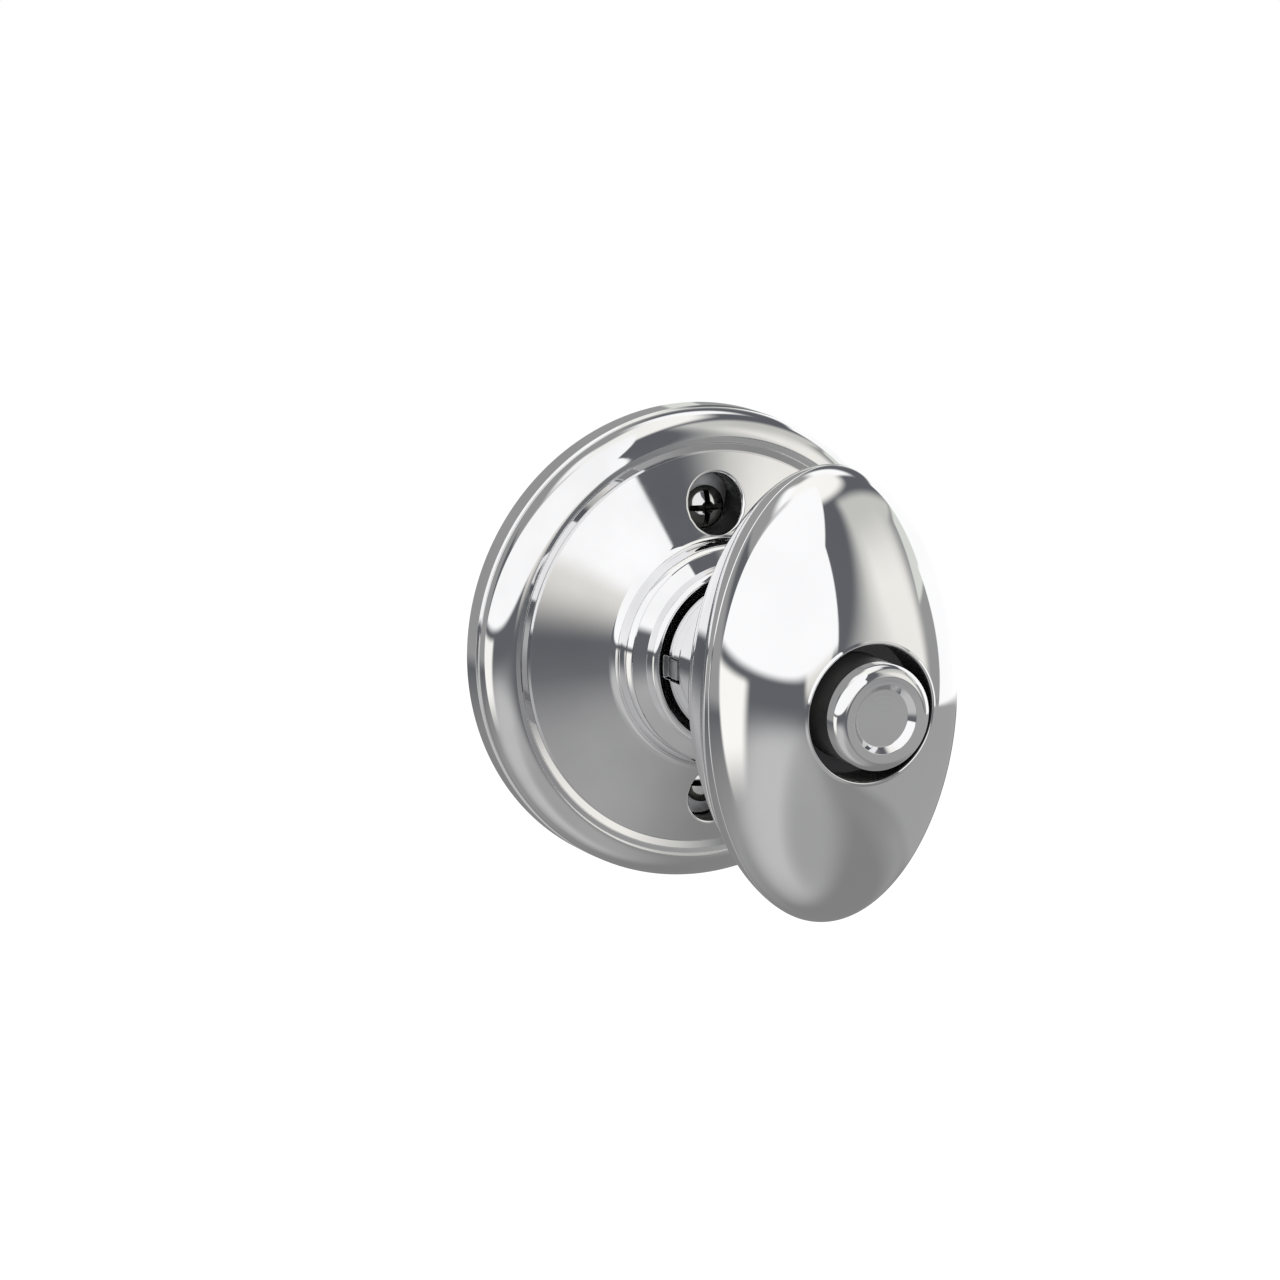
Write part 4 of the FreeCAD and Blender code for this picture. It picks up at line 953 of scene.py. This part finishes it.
def laid_over(tree, under, level, mask):
    """The light so far, with a level laid over it where the mask is 1."""
    mix = add(tree, "ShaderNodeMix", data_type="RGBA")
    feed(tree, mask, mix.inputs["Factor"])
    feed(tree, under, mix.inputs["A"])
    mix.inputs["B"].default_value = emission_of(level)
    return mix.outputs["Result"]


def photo_camera():
    """The camera that sees the lock as the photograph does, a small pan and tilt off its origin."""
    away = towards(CAMERA_AZIMUTH, CAMERA_ELEVATION)
    pan, tilt = math.radians(CAMERA_PAN), math.radians(CAMERA_TILT)
    right = (-away).cross(Vector((0, 0, 1))).normalized()
    above = right.cross(-away)
    look = (-away * math.cos(pan) * math.cos(tilt) + right * math.sin(pan) * math.cos(tilt)
            + above * math.sin(tilt))
    right = look.cross(above).normalized()
    above = right.cross(look)
    camera_data = bpy.data.cameras.new("camera")
    camera_data.lens = FOCAL_PIXELS / PHOTO_PIXELS * SENSOR_MM
    camera_data.sensor_width = SENSOR_MM
    camera_data.clip_start = NEAREST
    camera_data.clip_end = FARTHEST
    camera = bpy.data.objects.new("camera", camera_data)
    camera.matrix_world = Matrix.Translation(away * CAMERA_AWAY) @ Matrix(
        (right, above, -look)).transposed().to_4x4()
    bpy.context.scene.collection.objects.link(camera)
    bpy.context.scene.camera = camera


def studio_shell():
    """A shell round the set that only reflections see, with softboxes and cards as soft patches of light."""
    material = bpy.data.materials.new("studio_light")
    material.use_nodes = True
    material.cycles.emission_sampling = "NONE"
    tree = material.node_tree
    tree.nodes.remove(tree.nodes["Principled BSDF"])
    place = add(tree, "ShaderNodeNewGeometry")
    normal = add(tree, "ShaderNodeVectorMath", operation="NORMALIZE")
    feed(tree, place.outputs["Position"], normal.inputs[0])
    way = normal.outputs["Vector"]
    split = add(tree, "ShaderNodeSeparateXYZ")
    feed(tree, way, split.inputs[0])
    ramp = add(tree, "ShaderNodeValToRGB")
    stops = ramp.color_ramp.elements
    while len(stops) < len(UNDER):
        stops.new(0.5)
    for stop, (elevation, level) in zip(stops, UNDER):
        stop.position = (math.sin(math.radians(elevation)) + 1) / 2
        stop.color = emission_of(level)
    feed(tree, map_range(tree, split.outputs["Z"], -1, 1), ramp.inputs["Fac"])
    light = ramp.outputs["Color"]
    for level, middle, outer, inner, edges in GLOWS:
        inside = towards(*middle)
        dot = add(tree, "ShaderNodeVectorMath", operation="DOT_PRODUCT")
        feed(tree, way, dot.inputs[0])
        dot.inputs[1].default_value = inside
        masks = [map_range(tree, dot.outputs["Value"], math.cos(math.radians(outer)),
                           math.cos(math.radians(inner)), smooth=True)]
        masks += [edge_mask(tree, way, edge, inside) for edge in edges]
        light = laid_over(tree, light, level, product(tree, masks))
    for level, middle, edges in PATCHES:
        inside = towards(*middle)
        masks = [edge_mask(tree, way, edge, inside) for edge in edges]
        light = laid_over(tree, light, level, product(tree, masks))
    glow = add(tree, "ShaderNodeEmission")
    glow.inputs["Strength"].default_value = SHELL_LEVEL
    feed(tree, light, glow.inputs["Color"])
    feed(tree, glow.outputs[0], tree.nodes["Material Output"].inputs["Surface"])
    ball = bmesh.new()
    bmesh.ops.create_icosphere(ball, subdivisions=5, radius=STUDIO_RADIUS)
    mesh = bpy.data.meshes.new("studio")
    ball.to_mesh(mesh)
    ball.free()
    mesh.materials.append(material)
    shell = bpy.data.objects.new("Studio", mesh)
    bpy.context.scene.collection.objects.link(shell)
    shell.visible_camera = False
    shell.visible_diffuse = False
    shell.visible_shadow = False


def seen_as_background(tree):
    """1 for the rays that see the background: camera, mirror and glass."""
    rays = add(tree, "ShaderNodeLightPath")
    found = rays.outputs["Is Camera Ray"]
    for name in ("Is Glossy Ray", "Is Transmission Ray"):
        either = add(tree, "ShaderNodeMath", operation="MAXIMUM")
        feed(tree, found, either.inputs[0])
        feed(tree, rays.outputs[name], either.inputs[1])
        found = either.outputs[0]
    return found


def white_world(level):
    """A world that is white where it shows and gives a plain soft light."""
    world = bpy.data.worlds.new("world")
    world.use_nodes = True
    bpy.context.scene.world = world
    tree = world.node_tree
    back = tree.nodes["Background"]
    back.inputs["Color"].default_value = (1, 1, 1, 1)
    feed(tree, map_range(tree, seen_as_background(tree), 0, 1, level, 1), back.inputs["Strength"])


def pale_floor(z, half):
    """A plain floor, white where nothing shades it."""
    material = bpy.data.materials.new("floor")
    material.use_nodes = True
    material.cycles.emission_sampling = "NONE"
    tree = material.node_tree
    shader = tree.nodes["Principled BSDF"]
    shader.inputs["Base Color"].default_value = (FLOOR_PALE, FLOOR_PALE, FLOOR_PALE, 1)
    shader.inputs["Roughness"].default_value = 0.9
    shader.inputs["Specular IOR Level"].default_value = 0
    shader.inputs["Emission Color"].default_value = (1, 1, 1, 1)
    glow = map_range(tree, seen_as_background(tree), 0, 1, 0, FLOOR_GLOW)
    feed(tree, glow, shader.inputs["Emission Strength"])
    mesh = bpy.data.meshes.new("floor")
    corners = [(-half, -half, z), (half, -half, z), (half, half, z), (-half, half, z)]
    mesh.from_pydata(corners, [], [(0, 1, 2, 3)])
    mesh.materials.append(material)
    floor = bpy.data.objects.new("Floor", mesh)
    bpy.context.scene.collection.objects.link(floor)
    floor.visible_glossy = False


def soft_lamp(place, size, power):
    """A square softbox that faces the lock and that the chrome doesn't mirror."""
    lamp = bpy.data.lights.new("softbox", "AREA")
    lamp.size = size
    lamp.energy = power
    held = bpy.data.objects.new("Softbox", lamp)
    held.matrix_world = Matrix.Translation(place) @ place.to_track_quat("Z", "Y").to_matrix().to_4x4()
    held.visible_glossy = False
    bpy.context.scene.collection.objects.link(held)


photo_camera()
studio_shell()
white_world(WORLD_LIGHT)
pale_floor(FLOOR_HEIGHT, FLOOR_HALF)
soft_lamp(towards(*LAMP_WAY) * LAMP_AWAY, LAMP_SIZE, LAMP_POWER)
bpy.context.scene.view_settings.view_transform = "Standard"
